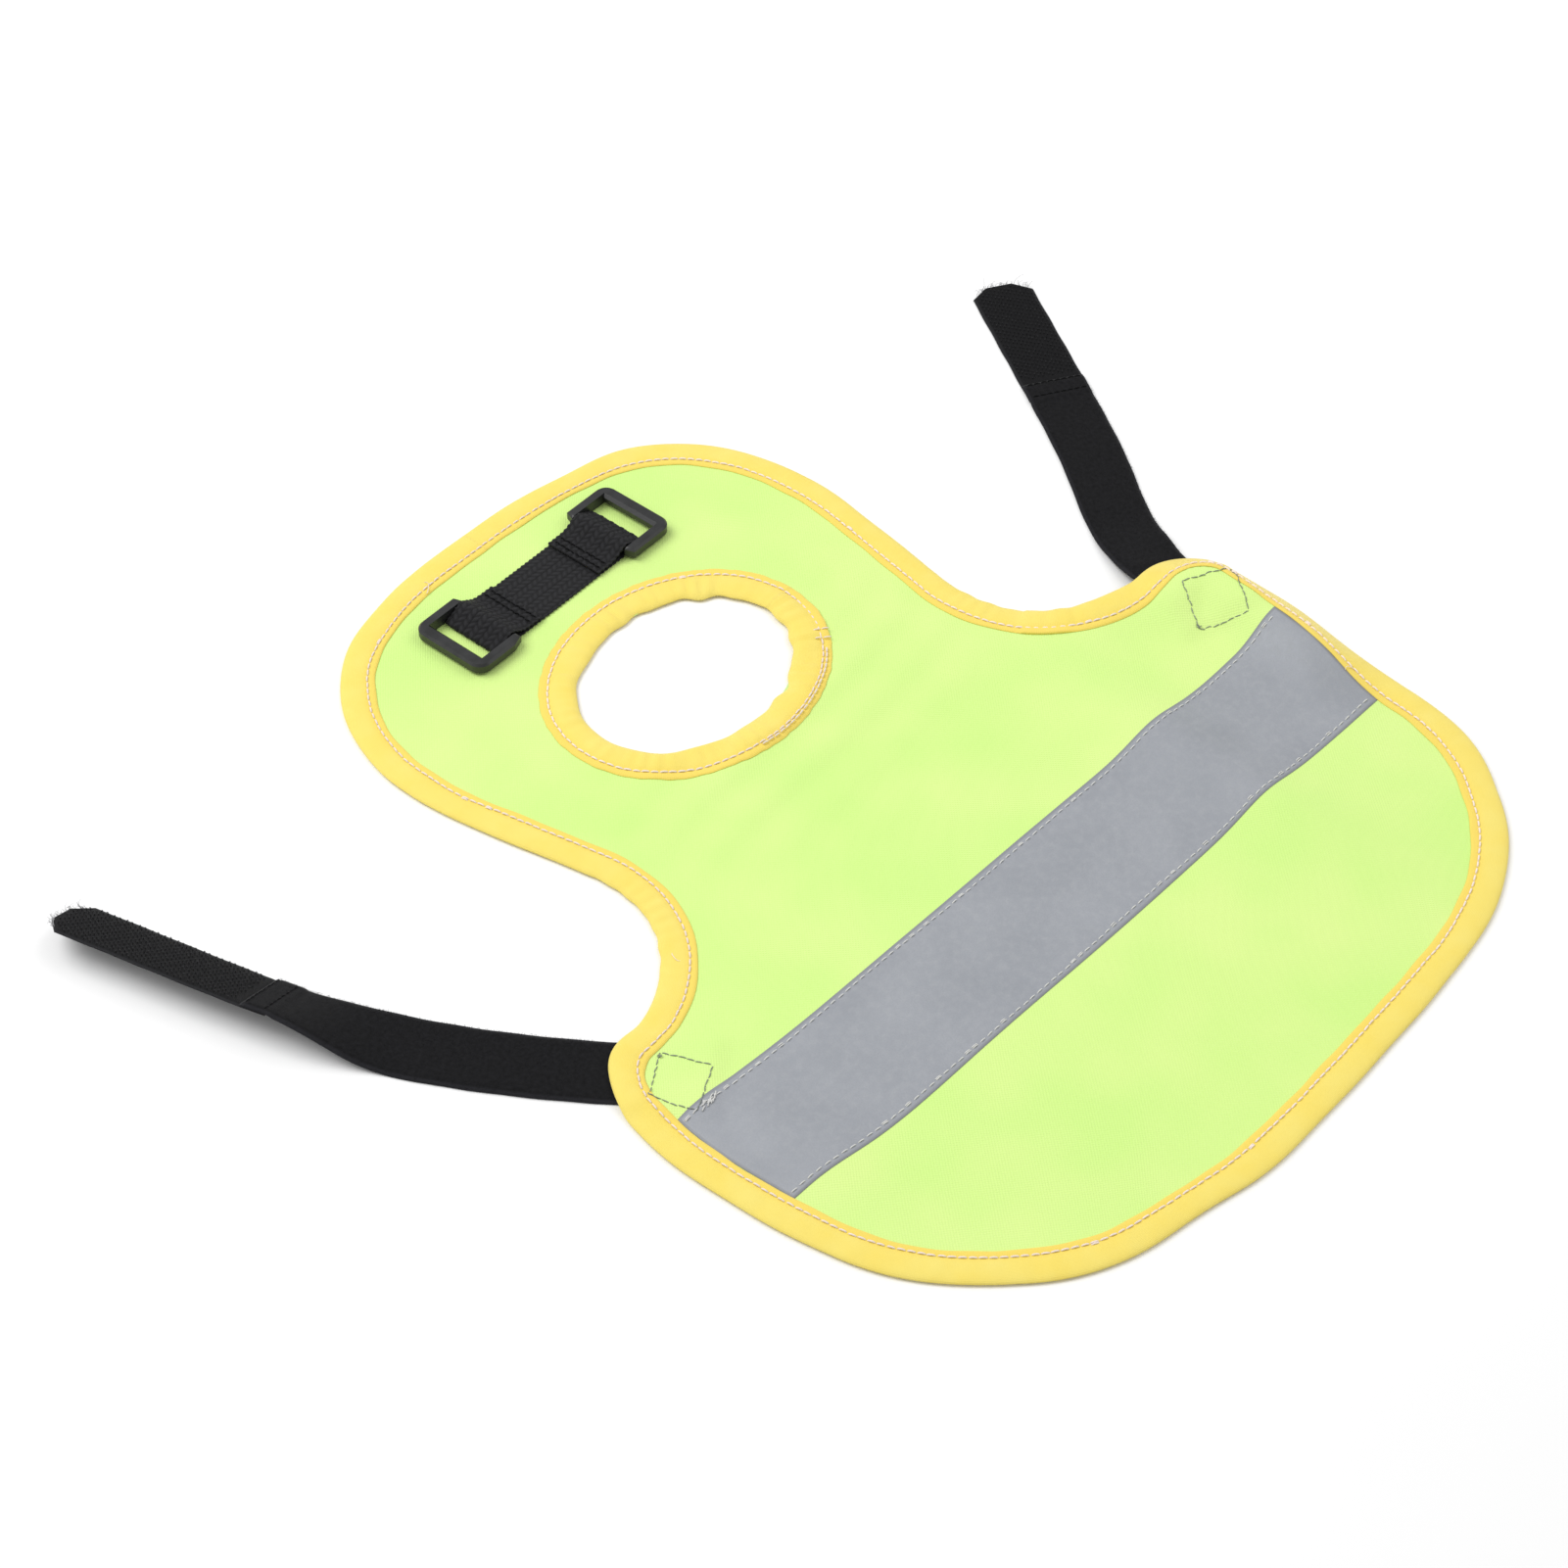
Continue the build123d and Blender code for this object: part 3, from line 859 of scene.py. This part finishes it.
def with_cloth(stations, points, centre):
    """How far the cloth over a strap lifts points beside the strap's middle, near its root."""
    held = 1 - smoothstep(stations, 0, 16)
    return held * (under_cloth(points[..., :2]) - under_cloth(centre[..., :2]))


def make_strap(name, strap, stations, bottom, top, half_width, material, waviness):
    """A stretch of tape. bottom, top and half_width are arrays over the stations."""
    section = np.array(strap_section)
    centre, across, up, ahead = strap_place(strap, stations)
    n = len(section)
    v_top = section[:, 0][None] * half_width[:, None]
    z_top = bottom[:, None] + section[:, 1][None] * (top - bottom)[:, None]
    v_low = v_top[:, ::-1] * 0.995
    z_low = np.repeat(bottom[:, None], n, axis=1)
    v, z = np.hstack([v_top, v_low]), np.hstack([z_top, z_low])
    near_edge = np.abs(v / strap_width * 2) ** 6
    edge_wave = waviness * np.sin(stations[:, None] / 3.1 + 2.0 * np.sign(v)) * near_edge
    v = v + edge_wave * np.sign(v)
    points = centre[:, None] + across[:, None] * v[..., None] + up[:, None] * z[..., None]
    points[..., 2] += with_cloth(stations[:, None], points, centre[:, None])
    rows, columns = v.shape
    uv = np.stack([np.repeat(stations, columns), v.ravel()], axis=1)
    margin = np.tile(np.concatenate([section[:, 2], np.ones(n)]), rows)
    faces = tube_faces(rows, columns)
    return outward(make_object(name, points.reshape(-1, 3), faces, material, uv, {"margin": margin}))


def strap_lift(strap, stations):
    """Height of a strap's underside: under the cloth it follows it, and then it comes down."""
    centre, _, _, _ = strap_place(strap, stations)
    sewn = under_cloth(centre[:, :2])
    root = float(np.interp(0.0, stations, sewn))
    return np.where(stations < 0, sewn, root * (1 - smoothstep(stations, 0, 30)))


def make_loop_tape(side, strap, material):
    """The soft tape, with the end that is sewn under the panel and the end sewn over the hook tape."""
    seam = strap["loop"] - tab_overlap
    stations = np.arange(-sewn_end_length, strap["loop"] - tab_gap + 0.01, 1.0)
    bottom = strap_lift(strap, stations) + hook_base * smoothstep(stations, seam - 2.5, seam + 0.5)
    thickness = np.where(stations < 0, loop_tape_thickness - 0.2, loop_tape_thickness)
    thickness = thickness - 0.35 * smoothstep(stations, seam - 1, seam + 1)
    thickness = thickness * (1 - 0.7 * smoothstep(stations, stations[-1] - 2.5, stations[-1]))
    half_width = np.full(len(stations), half_strap)
    return make_strap(
        f"{side}_loop_tape_cloth", strap, stations, bottom, bottom + thickness, half_width, material, 0.08
    )


def make_hook_tape(side, strap, material):
    """The hooked tape, from under the loop tape's end to its clipped tip."""
    start = strap["loop"] - tab_overlap + 0.6
    finish = strap["loop"] + strap["hook"]
    clip_from = finish - clip_along
    stations = np.append(np.arange(start, clip_from, 1.0), np.linspace(clip_from, finish, 8))
    half_width = half_strap - clip_across * np.clip((stations - finish + clip_along) / clip_along, 0, 1)
    bottom = np.zeros(len(stations))
    free = smoothstep(stations, strap["loop"] - tab_gap, strap["loop"] + 0.8)
    top = hook_base - 0.05 + 0.25 * free
    return make_strap(f"{side}_hook_tape_cloth", strap, stations, bottom, top, half_width, material, 0.1)


def scatter_on(strap, s, v, z):
    """Points on a strap at distances along, across and above it, with its three directions there."""
    centre, across, up, ahead = strap_place(strap, s)
    return centre + across * v[:, None] + up * z[:, None], across, up, ahead


def make_pile(side, strap, material):
    """Fine loose fibres that stand on the loop tape's face, a third of them along its edges."""
    threads = Threads(sides=3)
    seam = strap["loop"] - tab_overlap
    s = random.uniform(3, strap["loop"] - 2.5, pile_count)
    v = random.uniform(-0.93, 0.93, pile_count) * half_strap
    third = pile_count // 3
    s[:third] = random.uniform(3, strap["loop"] - 2.5, third)
    v[:third] = np.sign(v[:third]) * random.uniform(0.90, 0.99, third) * half_strap
    stations = np.arange(0.0, 200.0)
    lift = np.interp(s, stations, strap_lift(strap, stations))
    lift += hook_base * smoothstep(s, seam - 2.5, seam + 0.5) - 0.35 * smoothstep(s, seam - 1, seam + 1)
    top = lift + loop_tape_thickness * np.where(np.abs(v) > 0.92 * half_strap, 0.6, 0.96)
    root, across, up, ahead = scatter_on(strap, s, v, top)
    root[:, 2] += with_cloth(s, root, strap_place(strap, s)[0])
    lean = random.normal(0, 0.45, (pile_count, 2))
    outwards = np.where(np.abs(v) > 0.88 * half_strap, np.sign(v) * 0.8, 0)
    for i in range(pile_count):
        long = random.uniform(0.35, 0.75)
        first = up[i] + across[i] * (lean[i, 0] + outwards[i]) + ahead[i] * lean[i, 1]
        first = first / np.linalg.norm(first)
        curl = across[i] * random.normal(0, 0.5) + ahead[i] * random.normal(0, 0.5)
        line = [root[i], root[i] + first * long * 0.55, root[i] + (first + 0.45 * curl) * long]
        threads.add(line, [0.045, 0.04, 0.02])
    return threads.object(f"{side}_loop_pile", material)


def strap_point(strap, distance):
    """The same as strap_place at a single distance."""
    return [found[0] for found in strap_place(strap, np.array([float(distance)]))]


def make_hooks(side, strap, material):
    """Small nylon hooks in slanting rows across the tab, row by row facing its tip and its root."""
    threads = Threads(sides=4)
    start, finish = strap["loop"] + 2.0, strap["loop"] + strap["hook"] - 1.2
    for i, s_row in enumerate(np.arange(start - 14, finish + 14, hook_row_pitch)):
        for v in np.arange(-0.87, 0.871, hook_pitch / half_strap) * half_strap:
            s = s_row + hook_row_slant * v + random.normal(0, 0.08)
            room = half_strap - clip_across * max(0, (s - finish + clip_along) / clip_along) - 1.2
            if not start < s < finish or abs(v) > room:
                continue
            base, across, up, ahead = strap_point(strap, s)
            way = (ahead if i % 2 else -ahead) + across * random.normal(0, 0.25)
            foot = base + across * (v + random.normal(0, 0.08)) + up * 0.72
            high = random.uniform(0.62, 0.8)
            line = [
                foot, foot + up * high * 0.6, foot + up * high + way * 0.18,
                foot + up * high * 0.92 + way * 0.45, foot + up * high * 0.62 + way * 0.52,
            ]
            threads.add(line, [0.19, 0.18, 0.17, 0.15, 0.1])
    return threads.object(f"{side}_hooks", material)


def make_tip_filaments(side, strap, material):
    """Clear nylon filaments that stand out of the cut tip."""
    threads = Threads(sides=4)
    finish = strap["loop"] + strap["hook"]
    for _ in range(filament_count):
        v = random.uniform(-0.86, 0.86) * half_strap
        clipped = max(0.0, (abs(v) - (half_strap - clip_across)) / clip_across) * clip_along
        base, across, up, ahead = strap_point(strap, finish - clipped)
        foot = base + across * v + up * random.uniform(0.3, 0.8) - ahead * 0.6
        way = unit(ahead + across * random.normal(0, 0.45) + up * random.uniform(-0.05, 0.7))
        long = random.uniform(1.4, 2.9)
        curl = across * random.normal(0, 0.7) + up * random.normal(0.3, 0.4)
        bends = [(way, 0.6), (way + 0.5 * curl, 0.85), (way * 0.7 + curl, 0.9)]
        line = rounded([foot] + [foot + bend * long * share for bend, share in bends], 2)
        line[:, 2] = np.maximum(line[:, 2], 0.12)
        threads.add(line, 0.075)
    return threads.object(f"{side}_tip_filaments", material)


# ---------------------------------------------------------------- webbing

# Half of the strip's middle line, seen from the side: from the centre, out along the panel, round
# the end of the loop, back over the ring's bar, and down on itself
webbing_line = [
    (0, 1.85), (12, 1.85), (24, 1.85), (33, 1.85), (37.6, 1.85), (38.9, 2.15), (38.7, 2.95), (36.8, 3.75),
    (33.9, 5.1), (32.0, 6.3), (30.5, 6.62), (28.9, 6.15), (27.0, 4.95), (24.8, 3.75), (22.5, 3.2),
    (19.5, 3.08), (15, 3.08),
]
webbing_step = 0.42
webbing_columns = 64
wale_pitch = 2.5
course_pitch = 2.6


def knit(s, v):
    """Height of a chunky knit, from 0 in the grooves to 1 on the loops."""
    column = np.floor(v / wale_pitch + 0.5)
    inside = v / wale_pitch + 0.5 - column - 0.5
    lean = np.where(column % 2 == 0, 1.0, -1.0)
    round_top = np.sqrt(np.clip(1 - (2 * inside) ** 2, 0, 1))
    course = np.abs(np.sin(math.pi * (s / course_pitch + 0.75 * lean * inside + 0.25 * (column % 2))))
    return round_top * (0.2 + 0.8 * course)


def make_webbing(material):
    """The knitted strip with its two loops, and its length."""
    half = np.array(webbing_line)
    whole = np.vstack([half[::-1] * [-1, 1], half[1:]])
    line = resampled(rounded(whole, 2), webbing_step)
    ahead = unit(np.gradient(line, axis=0))
    normal = np.stack([ahead[:, 1], -ahead[:, 0]], axis=1)  # away from the loops' inside
    s = np.arange(len(line)) * webbing_step
    v = np.linspace(-1, 1, webbing_columns) * webbing_width / 2
    across_share = np.abs(v / (webbing_width / 2))
    fullness = 1 - across_share ** 8
    s_grid, v_grid = np.meshgrid(s, v, indexing="ij")
    pattern, back_pattern = knit(s_grid, v_grid), knit(s_grid + 1.0, v_grid)
    thin = webbing_thickness / 2 - 0.46
    outer = (thin + 0.50 * pattern) * fullness[None] + 0.16
    inner = (thin + 0.20 * back_pattern) * fullness[None] + 0.12
    bulge = 0.22 * np.sin(2 * math.pi * s / 2.1)[:, None] * (across_share ** 6)[None]
    v_edge = v_grid + bulge * np.sign(v_grid)

    def surface(height, columns):
        x = line[:, None, 0] + normal[:, None, 0] * height
        z = line[:, None, 1] + normal[:, None, 1] * height
        return np.stack([x, ring_centre_y + columns, z], axis=-1)

    out_face, in_face = surface(outer, v_edge), surface(-inner, v_edge)[:, ::-1]
    points = np.concatenate([out_face, in_face], axis=1)
    rows, columns = points.shape[:2]
    uv = np.stack([np.repeat(s, columns), np.tile(np.concatenate([v, v[::-1]]), rows)], axis=1)
    # the knit's height, which the material reads to paint shade into the grooves
    height = np.concatenate([pattern, back_pattern[:, ::-1]], axis=1)
    faces = tube_faces(rows, columns)
    made = make_object("ring_webbing_cloth", points.reshape(-1, 3), faces, material, uv, {"height": height})
    return outward(made), float(s[-1])


# ---------------------------------------------------------------- the whole vest

make_world(world_strength)
make_camera()
for name, light in lights.items():
    make_light(name, **light)
bpy.context.scene.view_settings.view_transform = "Standard"

floor_reach = floor_size / 2 / MM
floor_corners = [(-1, -1), (1, -1), (1, 1), (-1, 1)]
floor_points = [(x * floor_reach, y * floor_reach, -floor_depth) for x, y in floor_corners]
floor = make_object("floor", floor_points, [[0, 1, 2, 3]], floor_look())

panel_cloth = panel_look()
binding_cloth = binding_look()
tape_cloth = tape_look()
peach_thread = thread_look("peach_thread", (0.92, 0.76, 0.66, 1), (0.94, 0.86, 0.79, 1))
white_thread = thread_look("white_thread", (0.62, 0.62, 0.60, 1), (0.88, 0.88, 0.86, 1))
dark_thread = thread_look("dark_thread", (0.17, 0.20, 0.16, 1), (0.36, 0.39, 0.33, 1))
black_thread = thread_look("black_thread", (0.003, 0.003, 0.0035, 1), (0.010, 0.010, 0.011, 1), 0.06)
loop_cloth = loop_tape_look()
hook_cloth = hook_tape_look()
pile_fibre = fibre_look("black_pile_fibre", (0.005, 0.005, 0.006, 1), (0.022, 0.022, 0.025, 1), 0.8)
hook_nylon = fibre_look("black_hook_nylon", (0.004, 0.004, 0.0045, 1), (0.036, 0.036, 0.04, 1), 0.5)
clear_nylon = fibre_look("clear_nylon", (0.20, 0.20, 0.21, 1), (0.62, 0.62, 0.63, 1), 0.3)
webbing_knit = webbing_look()
ring_plastic = plastic_look()


def across_neck(made, slot_name, *nodes):
    """A piece of the vest that stands for CAD nodes: its place is baked into its mesh and the nodes are
    hidden.
    """
    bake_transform(made)
    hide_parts(*nodes)
    return made


panel = across_neck(make_panel(panel_cloth), "panel_fabric", "back_panel", "chest_panel")

# the outer binding: its puckers are strongest in the two hollow curves beside the neck
hollow = bell(np.abs(edge.points[:, 0]) - 102, 16) * bell(edge.points[:, 1] + 66, 28)
edge_wave = edge.ripple(0.30, [9, 17, 29]) + 0.35 * hollow * edge.ripple(1.0, [110, 147])
edge_pucker = edge.ripple(0.10, [61, 97, 139]) + hollow * np.abs(edge.ripple(0.6, [120, 151]))
edge_joint = edge.along[edge.nearest([(101, -72)])[0][0]]
edge_bias_tape = make_binding(
    "edge_binding_cloth", edge, edge_binding_width, binding_cloth, edge_wave, edge_pucker, edge_joint
)
edge_binding = across_neck(edge_bias_tape, "binding_fabric", "back_edge_binding", "chest_edge_binding")

# the neck binding: scalloped all round, the most on its right side
neck_wave = 0.8 + neck.ripple(0.55, [5, 9, 13])
neck_wave += neck.ripple(0.8, [16, 23]) * bell(neck.points[:, 0] - 26, 30)
neck_pucker = 0.05 + np.abs(neck.ripple(1.0, [19, 27, 34]))
neck_joint = neck.along[neck.nearest([(34, -19)])[0][0]]
neck_bias_tape = make_binding(
    "neck_binding_cloth", neck, neck_binding_width, binding_cloth, neck_wave, neck_pucker, neck_joint
)
neck_binding = across_neck(neck_bias_tape, "binding_fabric", "back_neck_binding", "chest_neck_binding")


def binding_stitches(rim, width):
    """The row of stitches that closes a binding, in the valley that it has pulled."""
    threads = Threads()
    line = lifted(rim.inset(stitch_share * width + rim.ripple(0.12, [19, 43])), valley_top)
    stitch_line(threads, line, binding_stitch, closed=True, rise=0.30, doubled=0.02)
    return threads


edge_threads = binding_stitches(edge, edge_binding_width)
for start, reach, radius in (((-32, 98), 7, 0.16), ((-104, -84), 5, 0.16), ((152, -182), 4, 0.15)):
    tail(edge_threads, start, reach, radius)
edge_stitches = across_neck(
    edge_threads.object("edge_binding_stitches", peach_thread),
    "light_thread", "back_edge_stitching", "chest_edge_stitching",
)

# the neck's row is doubled for a stretch at its rear, and tacked across where the binding's ends meet
doubled_points, tack_points = 44, 14
neck_threads = binding_stitches(neck, neck_binding_width)
doubled_at = neck.nearest([(13, -30)])[0][0]
second = neck.inset(stitch_share * neck_binding_width + 1.3)
second = np.roll(second, doubled_points // 2 - doubled_at, axis=0)[:doubled_points]
stitch_line(neck_threads, lifted(second, 2.35), doubled_stitch, rise=0.28)
tack_from, tack_to = neck.inset(0.62 * neck_binding_width), neck.inset(neck_binding_width + 0.6)
for shift in (0, 3):
    i = (int(neck_joint / neck.step) + shift) % len(neck.points)
    across_line = np.linspace(tack_from[i], tack_to[i], tack_points)
    stitch_line(neck_threads, lifted(across_line, 2.55), neck_tack_stitch, rise=0.2)
neck_stitches = across_neck(
    neck_threads.object("neck_binding_stitches", peach_thread),
    "light_thread", "back_neck_stitching", "chest_neck_stitching",
)


def tape_ends(across, depth):
    """Where a line along the tape meets a given depth from the vest's edge, left and right."""
    along = np.arange(-175, 175.1, 0.5)
    xy = from_tape(along[None], np.asarray(across)[:, None])
    _, found = edge.nearest(xy.reshape(-1, 2))
    inside = (found > depth).reshape(len(across), -1)
    left = along[inside.argmax(axis=1)]
    right = along[::-1][inside[:, ::-1].argmax(axis=1)]
    return left, right


def make_tape(material):
    """The tape is cut along the binding's free edge at both ends, and has a pressed border."""
    half = tape_width / 2
    inner = half - tape_border
    v = np.concatenate([[-half, -inner], np.linspace(-inner + 0.25, inner - 0.25, 22), [inner, half]])
    ends = [np.pad(end, 2, mode="edge") for end in tape_ends(v, edge_binding_width - 0.25)]
    left, right = (np.convolve(end, np.ones(5) / 5, mode="valid") for end in ends)
    first = [0, tape_border, tape_border + 0.25]
    last = [tape_length - tape_border - 0.35, tape_length - tape_border, tape_length]
    share = np.concatenate([first, np.linspace(3, tape_length - 3, 200), last]) / tape_length
    along = left[None] + (right - left)[None] * share[:, None]
    wobble = 0.25 * np.sin(along / 23 + 1) * (np.abs(v) / half) ** 4 * np.sign(v)
    xy = from_tape(along, v[None] + wobble)
    # the border mark: its long edges are the tape's darker selvedge, and its two rows at each end are
    # painted shade along the cut ends
    margin = np.zeros(along.shape)
    margin[:2], margin[-2:], margin[:, :2], margin[:, -2:] = 1, 1, 1, 1
    top = lifted(xy, panel_top + tape_thickness - 0.08 * margin).reshape(-1, 3)
    low = lifted(xy, panel_top + 0.01).reshape(-1, 3)
    uv = np.stack([along.ravel(), np.tile(v, len(along))], axis=1)
    faces = grid_faces(*along.shape)
    return two_sided("reflective_tape_cloth", top, low, faces, material, uv, {"margin": margin.ravel()})


tape = make_tape(tape_cloth)
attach(tape, "back")
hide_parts("reflective_tape")

tape_threads = Threads()
for sign in (-1, 1):
    v = sign * (tape_width / 2 - tape_stitch_inset)
    left, right = tape_ends([v], edge_binding_width + 1.0)
    along = np.arange(left[0], right[0], 2.0)
    row = lifted(from_tape(along, v + 0.2 * np.sin(along / 17)), panel_top + tape_thickness)
    stitch_line(tape_threads, row, tape_stitch, rise=0.26, doubled=0.16)
# the upper row begins with a knot of short threads
for centre, count in (((-143.5, -134.0), 9), ((-140.5, -133.5), 5)):
    for _ in range(count):
        xy = np.array(centre) + random.normal(0, [1.5, 0.7])
        heading = random.uniform(-0.5, 0.9)
        share = np.linspace(-1, 1, 6)
        points = on_cloth(xy + share[:, None] * np.array([math.cos(heading), math.sin(heading)]), 0.16)
        points[:, 2] += 0.25 * np.cos(math.pi / 2 * share)
        tape_threads.add(points, 0.22)
tape_stitches = tape_threads.object("tape_stitches", white_thread)
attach(tape_stitches, "back")
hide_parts("tape_stitching")


def make_box_stitches(side, strap):
    """A square of dark thread that holds the strap, sewn through panel, binding and tape."""
    threads = Threads()
    angle = math.radians(strap["box_angle"])
    c, s = math.cos(angle), math.sin(angle)
    half = box_stitch_side / 2
    corners = np.array([(-half, -half), (half, -half), (half, half), (-half, half), (-half, -half)])
    corners = corners + random.normal(0, 0.5, corners.shape)
    square = resampled(corners, 1.0)
    square += random.normal(0, 0.10, square.shape)
    square = square @ np.array([[c, s], [-s, c]]) + strap["box"]
    line = on_cloth(square, 0.05)
    stitch_line(threads, line, box_stitch, sideways=0.3, rise=0.18, doubled=0.08)
    corner = square[int(len(square) * strap["loose_at"])]
    for _ in range(3):
        start, reach = corner + random.normal(0, 0.3, 2), random.uniform(1.5, 2.6)
        tail(threads, start, reach, 0.17, turns=random.uniform(0.8, 2.2))
    made = threads.object(f"{side}_box_stitches", dark_thread)
    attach(made, "back")
    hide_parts(f"{side}_box_stitching")
    return made


boxes = {side: make_box_stitches(side, strap) for side, strap in straps.items()}

webbing, webbing_length = make_webbing(webbing_knit)
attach(webbing, "chest")
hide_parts("ring_webbing")

tack_threads = Threads()
for side in (-1, 1):
    for shift in (-1.5, 1.5):
        y = np.linspace(-1, 1, 20) * (webbing_width / 2 - seam_inset) + ring_centre_y
        x = side * tack_x + shift + 0.3 * np.sin(y * 2.1)
        z = np.full(len(y), panel_top + 2 * webbing_thickness + 0.22)
        stitch_line(tack_threads, np.stack([x, y, z], axis=1), webbing_stitch, rise=0.25)
tacks = tack_threads.object("webbing_tacks", black_thread)
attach(tacks, "chest")
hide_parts("webbing_stitching")

for side in ("left", "right"):
    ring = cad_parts[f"{side}_ring"]
    ring.data.materials.clear()
    ring.data.materials.append(ring_plastic)
    ring.data.polygons.foreach_set("use_smooth", [True] * len(ring.data.polygons))
    soften = ring.modifiers.new("soften", "BEVEL")
    soften.width, soften.segments, soften.limit_method = 0.35 * MM, 2, "ANGLE"
    soften.angle_limit = math.radians(25)
    soften.harden_normals = True

for side, strap in straps.items():
    loop_tape = make_loop_tape(side, strap, loop_cloth)
    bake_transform(loop_tape)
    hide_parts(f"{side}_loop_tape", f"{side}_strap_sewn_end")
    pile = make_pile(side, strap, pile_fibre)
    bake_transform(pile)
    hook_tape = make_hook_tape(side, strap, hook_cloth)
    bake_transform(hook_tape)
    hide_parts(f"{side}_hook_tape", f"{side}_hook_sewn_end")
    hooks = make_hooks(side, strap, hook_nylon)
    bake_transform(hooks)
    filaments = make_tip_filaments(side, strap, clear_nylon)
    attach(filaments, f"{side}_tab")

    seam_threads = Threads()
    for back_from_fold in (tab_gap + 1.6, tab_overlap - 1.6):
        v = np.linspace(-1, 1, 18) * (half_strap - seam_inset)
        s = np.full(len(v), strap["loop"] - back_from_fold)
        z = np.full(len(v), hook_base + loop_tape_thickness - 0.36)
        row, _, _, _ = scatter_on(strap, s, v, z)
        stitch_line(seam_threads, row, seam_stitch, rise=0.22)
    seam = seam_threads.object(f"{side}_tab_stitches", black_thread)
    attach(seam, f"{side}_strap")
    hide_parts(f"{side}_tab_stitching")
